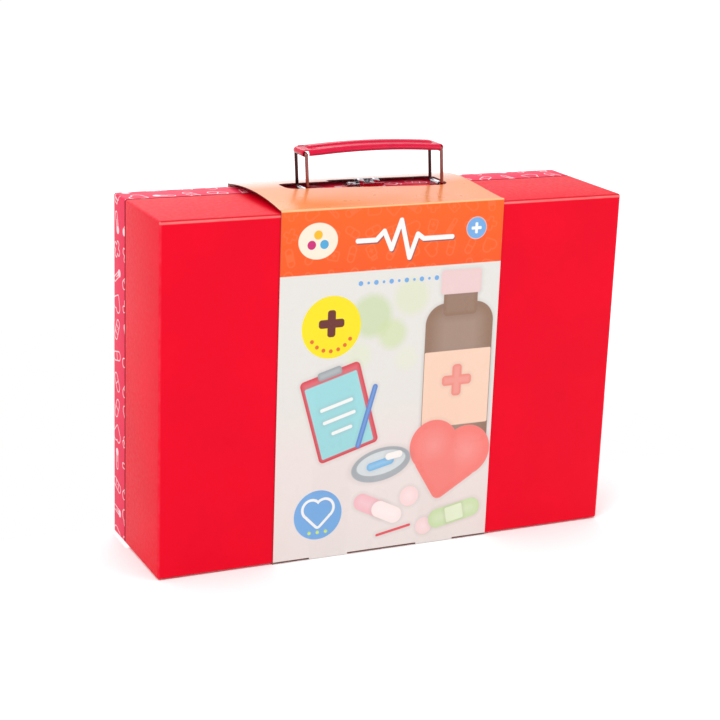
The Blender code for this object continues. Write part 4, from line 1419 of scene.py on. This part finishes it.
def make_sleeve():
    """One card folded round the case: flap, bottom, front, bowed top and back, with slot and crease cuts."""
    sizes = bpy.context.scene.sleeve_sizes
    inks = bpy.context.scene.print_colours
    low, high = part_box("card_sleeve")
    half, bend, steps = sizes.card / 2, sizes.crease, 28
    front, back = low.y + half, high.y - half
    bottom, top = low.z + half, high.z - half - sizes.bow_left
    flap = back - sizes.card - GLUE_GAP
    path = [(flap, bottom + sizes.flap)]
    path += arc((flap - bend, bottom + bend), bend, 0, -90, 4)
    path += arc((front + bend, bottom + bend), bend, 270, 180, 4)
    path += arc((front + bend, top - bend * 0.4), bend, 180, 110, 4)
    for step in range(steps + 1):
        part = step / steps
        y = front + (back - front) * part
        if front + bend * 1.2 < y < back - bend * 1.2:
            path.append((y, top + sizes.bow_left * 4 * part * (1 - part)))
    path += arc((back - bend, top - bend * 0.4), bend, 70, 0, 4)
    path.append((back, bottom))
    sleeve = bend_strip("sleeve", path, low.x, high.x, "YZ")
    draw_down(sleeve, low.x, high.x, top)
    inside, edge = bare_card("bare card", inks.card_inside), bare_card("cut card", inks.card_edge)
    for material in (sleeve_print(inks, sizes), inside, edge):
        sleeve.data.materials.append(material)
    thicken(sleeve, sizes.card, 0.0, material_offset=1, material_offset_rim=2)
    cut_slot(sleeve, top, high.z)
    width = high.x - low.x
    end_cut, bridge = width * sizes.end_cut_share, width * sizes.bridge_share
    spans = [(low.x - OVERRUN, low.x + end_cut)]
    spans.append((low.x + end_cut + bridge, high.x - end_cut - bridge))
    spans.append((high.x - end_cut, high.x + OVERRUN))
    base = low.z + sizes.card + CLOSE * 10
    for near, far in spans:
        tool_low = (near, front - OVERRUN, base)
        tool = add_block("crease", tool_low, (far, front + OVERRUN, base + sizes.crease_cut))
        edge_like(tool, sleeve)
        cut(sleeve, tool)
    hand_over(sleeve, "sleeve", "printed_card", None, "card_sleeve", angle=30)


def cut_slot(sleeve, top, crest):
    """Cuts the slot for the handle, and its deeper part at the clasp and to the right of it."""
    sizes = bpy.context.scene.sleeve_sizes
    left = joint_place("handle_fold").x - sizes.slot_left
    right = joint_place("link_right_fold").x + sizes.slot_right
    deep_left = joint_place("hasp_hinge").x - sizes.deep_slot_left
    seam = joint_place("lid_hinge").y
    front = seam - sizes.slot_front
    below, above = top - sizes.bow_left, crest + sizes.bow_left
    slot = add_block("slot", (left, front, below), (right, seam + sizes.slot_back, above))
    round_uprights(slot, sizes.slot_corner, 10)
    deep_front, deep_back = front + sizes.slot_corner, seam + sizes.deep_slot_back
    deep_slot = add_block("deep_slot", (deep_left, deep_front, below), (right, deep_back, above))
    for x, corner in ((deep_left, sizes.deep_slot_corner), (right, sizes.slot_corner)):
        place = Vector((x, deep_back))
        pick(deep_slot, "EDGE", lambda start, end: max((e.xy - place).length for e in (start, end)) < CLOSE)
        bevel(corner, 10)
    for tool in (slot, deep_slot):
        edge_like(tool, sleeve)
        cut(sleeve, tool)


def draw_down(sleeve, left, right, top):
    """Lowers the bowed top from the left edge to the right, in columns, and moves its crest back."""
    sizes = bpy.context.scene.sleeve_sizes
    low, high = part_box("card_sleeve")
    steps, same_row = 16, 0.000002
    edge = [v.co for v in sleeve.data.vertices if v.co.z > top and abs(v.co.x - left) < CLOSE]
    rows = sorted({round(co.y, 6) for co in edge})
    columns = [left + (right - left) * step / steps for step in range(1, steps + 1)]
    for x in columns[:-1]:
        slice_through(sleeve, (x, 0, 0), (1, 0, 0))

    def bowed(height, along):
        return height * 4 * along * (1 - along)

    for x in columns:
        part = ((x - left) / (right - left)) ** 2
        lift = sizes.lift_right * part**5
        bow = sizes.bow_left + (sizes.bow_right - sizes.bow_left) * part
        skew = 1 + (sizes.skew_right - 1) * part
        for row in rows:
            along = (row - low.y) / (high.y - low.y)
            height = bowed(bow, along**skew) + bowed(lift, along**sizes.lift_skew)

            def here(co):
                return abs(co.x - x) < CLOSE and abs(co.y - row) < same_row and co.z > top

            move_points(sleeve, here, (0, 0, height - bowed(sizes.bow_left, along)))
    leave_edit()


def edge_like(tool, sleeve):
    """Gives a tool the sleeve's materials, so that what it cuts shows the card's core."""
    for material in sleeve.data.materials:
        tool.data.materials.append(material)
    for face in tool.data.polygons:
        face.material_index = 2


# Stage


def add_lamp(name, place, target, size, power):
    clear_selection()
    bpy.ops.object.light_add(type="AREA", location=place)
    lamp = bpy.context.object
    lamp.name = name
    lamp.data.shape = "DISK"
    lamp.data.size = size
    lamp.data.energy = power
    lamp.rotation_euler = (Vector(target) - Vector(place)).to_track_quat("-Z", "Y").to_euler()


def seen_directly(tree):
    """1 for rays that show the background: from the camera, or by reflection or through glass."""
    rays = tree.nodes.new("ShaderNodeLightPath")
    seen = rays.outputs["Is Camera Ray"]
    for other in ("Is Glossy Ray", "Is Transmission Ray"):
        both = tree.nodes.new("ShaderNodeMath")
        both.operation = "MAXIMUM"
        tree.links.new(seen, both.inputs[0])
        tree.links.new(rays.outputs[other], both.inputs[1])
        seen = both.outputs[0]
    return seen


def make_floor(studio):
    """A plain floor, open behind the case, because the lid of the standing case swings down past it."""
    clear_selection()
    bpy.ops.mesh.primitive_plane_add(size=studio.floor_size, location=(0, 0, 0))
    floor = named("studio_floor")
    low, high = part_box("lid_shell")
    depth, height = high.y - low.y, high.z - low.z
    margin = 0.0015
    close, wide = high.x + margin, high.x + height * 0.7
    near, behind, far = low.y - depth * 0.3, high.y + depth * 0.4, high.y + height * 2.2
    for x in (-wide, -close, close, wide):
        slice_through(floor, (x, 0, 0), (1, 0, 0))
    for y in (near, behind, far):
        slice_through(floor, (0, y, 0), (0, 1, 0))

    def lid_swings_here(centre, normal):
        under = abs(centre.x) < close and near < centre.y < far
        return under or (abs(centre.x) < wide and behind < centre.y < far)

    pick(floor, "FACE", lid_swings_here)
    bpy.ops.mesh.delete(type="FACE")
    leave_edit()
    finish = Finish("white floor", 0.9, Specular_IOR_Level=0.0)
    lit, seen = ((level, level, level, 1.0) for level in (studio.floor_lit, studio.floor_seen))
    finish.colour(finish.mix(seen_directly(finish.tree), lit, seen))
    floor.data.materials.append(finish.material)


def light_studio(studio):
    world = bpy.data.worlds.new("studio")
    bpy.context.scene.world = world
    world.use_nodes = True
    background = world.node_tree.nodes["Background"]
    background.inputs["Color"].default_value = (1.0, 1.0, 1.0, 1.0)
    level = world.node_tree.nodes.new("ShaderNodeMapRange")
    level.inputs["To Min"].default_value = studio.sky
    level.inputs["To Max"].default_value = 1.0
    world.node_tree.links.new(seen_directly(world.node_tree), level.inputs["Value"])
    world.node_tree.links.new(level.outputs["Result"], background.inputs["Strength"])
    middle_of_case = (0.0, 0.0, 0.10)
    for name, (place, size) in LAMPS.items():
        add_lamp(f"{name}_lamp", place, middle_of_case, size, getattr(studio, name))


def place_camera(studio):
    clear_selection()
    bpy.ops.object.camera_add(location=studio.camera_place, rotation=studio.camera_turn)
    camera = bpy.context.object
    camera.name = "camera"
    camera.data.lens = studio.lens
    camera.data.clip_start = 0.01
    bpy.context.scene.camera = camera


# Operators


class DOCTORCASE_OT_trays(bpy.types.Operator):
    """Model the base and the lid of the case"""

    bl_idname = "doctorcase.trays"
    bl_label = "Trays"

    def execute(self, context):
        colours = context.scene.case_colours
        make_tray("base_tray", "base_shell", "base", 1, base_paper(colours))
        paper = printed_paper("printed lid paper", "lid_shell", colours)
        make_tray("lid_tray", "lid_shell", "lid", -1, paper)
        return {"FINISHED"}


class DOCTORCASE_OT_linings(bpy.types.Operator):
    """Model the paper linings of the base and the lid"""

    bl_idname = "doctorcase.linings"
    bl_label = "Linings"

    def execute(self, context):
        make_lining("base_paper_lining", "base_lining", "base", 1)
        make_lining("lid_paper_lining", "lid_lining", "lid", -1)
        return {"FINISHED"}


class DOCTORCASE_OT_collar(bpy.types.Operator):
    """Model the collar that the lid closes over"""

    bl_idname = "doctorcase.collar"
    bl_label = "Collar"

    def execute(self, context):
        make_collar()
        return {"FINISHED"}


class DOCTORCASE_OT_hinge(bpy.types.Operator):
    """Model the bookcloth hinge along the bottom"""

    bl_idname = "doctorcase.hinge"
    bl_label = "Bookcloth Hinge"

    def execute(self, context):
        make_hinge_cloth()
        return {"FINISHED"}


class DOCTORCASE_OT_handle(bpy.types.Operator):
    """Model the grip, its two links, their clips and the plates behind the clips"""

    bl_idname = "doctorcase.handle"
    bl_label = "Handle"

    def execute(self, context):
        for side, joint in (("left", "handle_fold"), ("right", "link_right_fold")):
            make_link(side, joint)
            make_clip(side, joint)
            make_backing(side, joint)
        make_grip()
        return {"FINISHED"}


class DOCTORCASE_OT_clasp(bpy.types.Operator):
    """Model the catch, the hasp, its plate and pin, and the rivets"""

    bl_idname = "doctorcase.clasp"
    bl_label = "Clasp"

    def execute(self, context):
        make_catch()
        make_hasp()
        make_lid_plate()
        for body, nodes in RIVETS.items():
            for node in nodes:
                make_rivet(node, body)
        return {"FINISHED"}


class DOCTORCASE_OT_sleeve(bpy.types.Operator):
    """Model the printed card sleeve"""

    bl_idname = "doctorcase.sleeve"
    bl_label = "Card Sleeve"

    def execute(self, context):
        make_sleeve()
        return {"FINISHED"}


class DOCTORCASE_OT_stage(bpy.types.Operator):
    """Set the floor, the lamps, the even light and the camera"""

    bl_idname = "doctorcase.stage"
    bl_label = "Stage"

    def execute(self, context):
        studio = context.scene.studio
        make_floor(studio)
        light_studio(studio)
        place_camera(studio)
        context.scene.view_settings.view_transform = "Standard"
        return {"FINISHED"}


OPERATORS = [
    DOCTORCASE_OT_stage,
    DOCTORCASE_OT_trays,
    DOCTORCASE_OT_linings,
    DOCTORCASE_OT_collar,
    DOCTORCASE_OT_hinge,
    DOCTORCASE_OT_handle,
    DOCTORCASE_OT_clasp,
    DOCTORCASE_OT_sleeve,
]


class DOCTORCASE_PT_panel(bpy.types.Panel):
    bl_label = "Doctor Case"
    bl_space_type = "VIEW_3D"
    bl_region_type = "UI"
    bl_category = "Doctor Case"

    def draw(self, context):
        for operator in OPERATORS:
            self.layout.operator(operator.bl_idname)
        for name, group in GROUPS.items():
            box = self.layout.box()
            box.label(text=label(name))
            for value in group.__annotations__:
                box.prop(getattr(context.scene, name), value)


CLASSES = [*GROUPS.values(), *OPERATORS, DOCTORCASE_PT_panel]


def register():
    for each in CLASSES:
        bpy.utils.register_class(each)
    for name, group in GROUPS.items():
        setattr(bpy.types.Scene, name, PointerProperty(type=group))


def unregister():
    for name in GROUPS:
        delattr(bpy.types.Scene, name)
    for each in reversed(CLASSES):
        bpy.utils.unregister_class(each)


def main():
    register()
    for operator in OPERATORS:
        getattr(bpy.ops.doctorcase, operator.bl_idname.split(".")[1])()


if __name__ == "__main__":
    main()
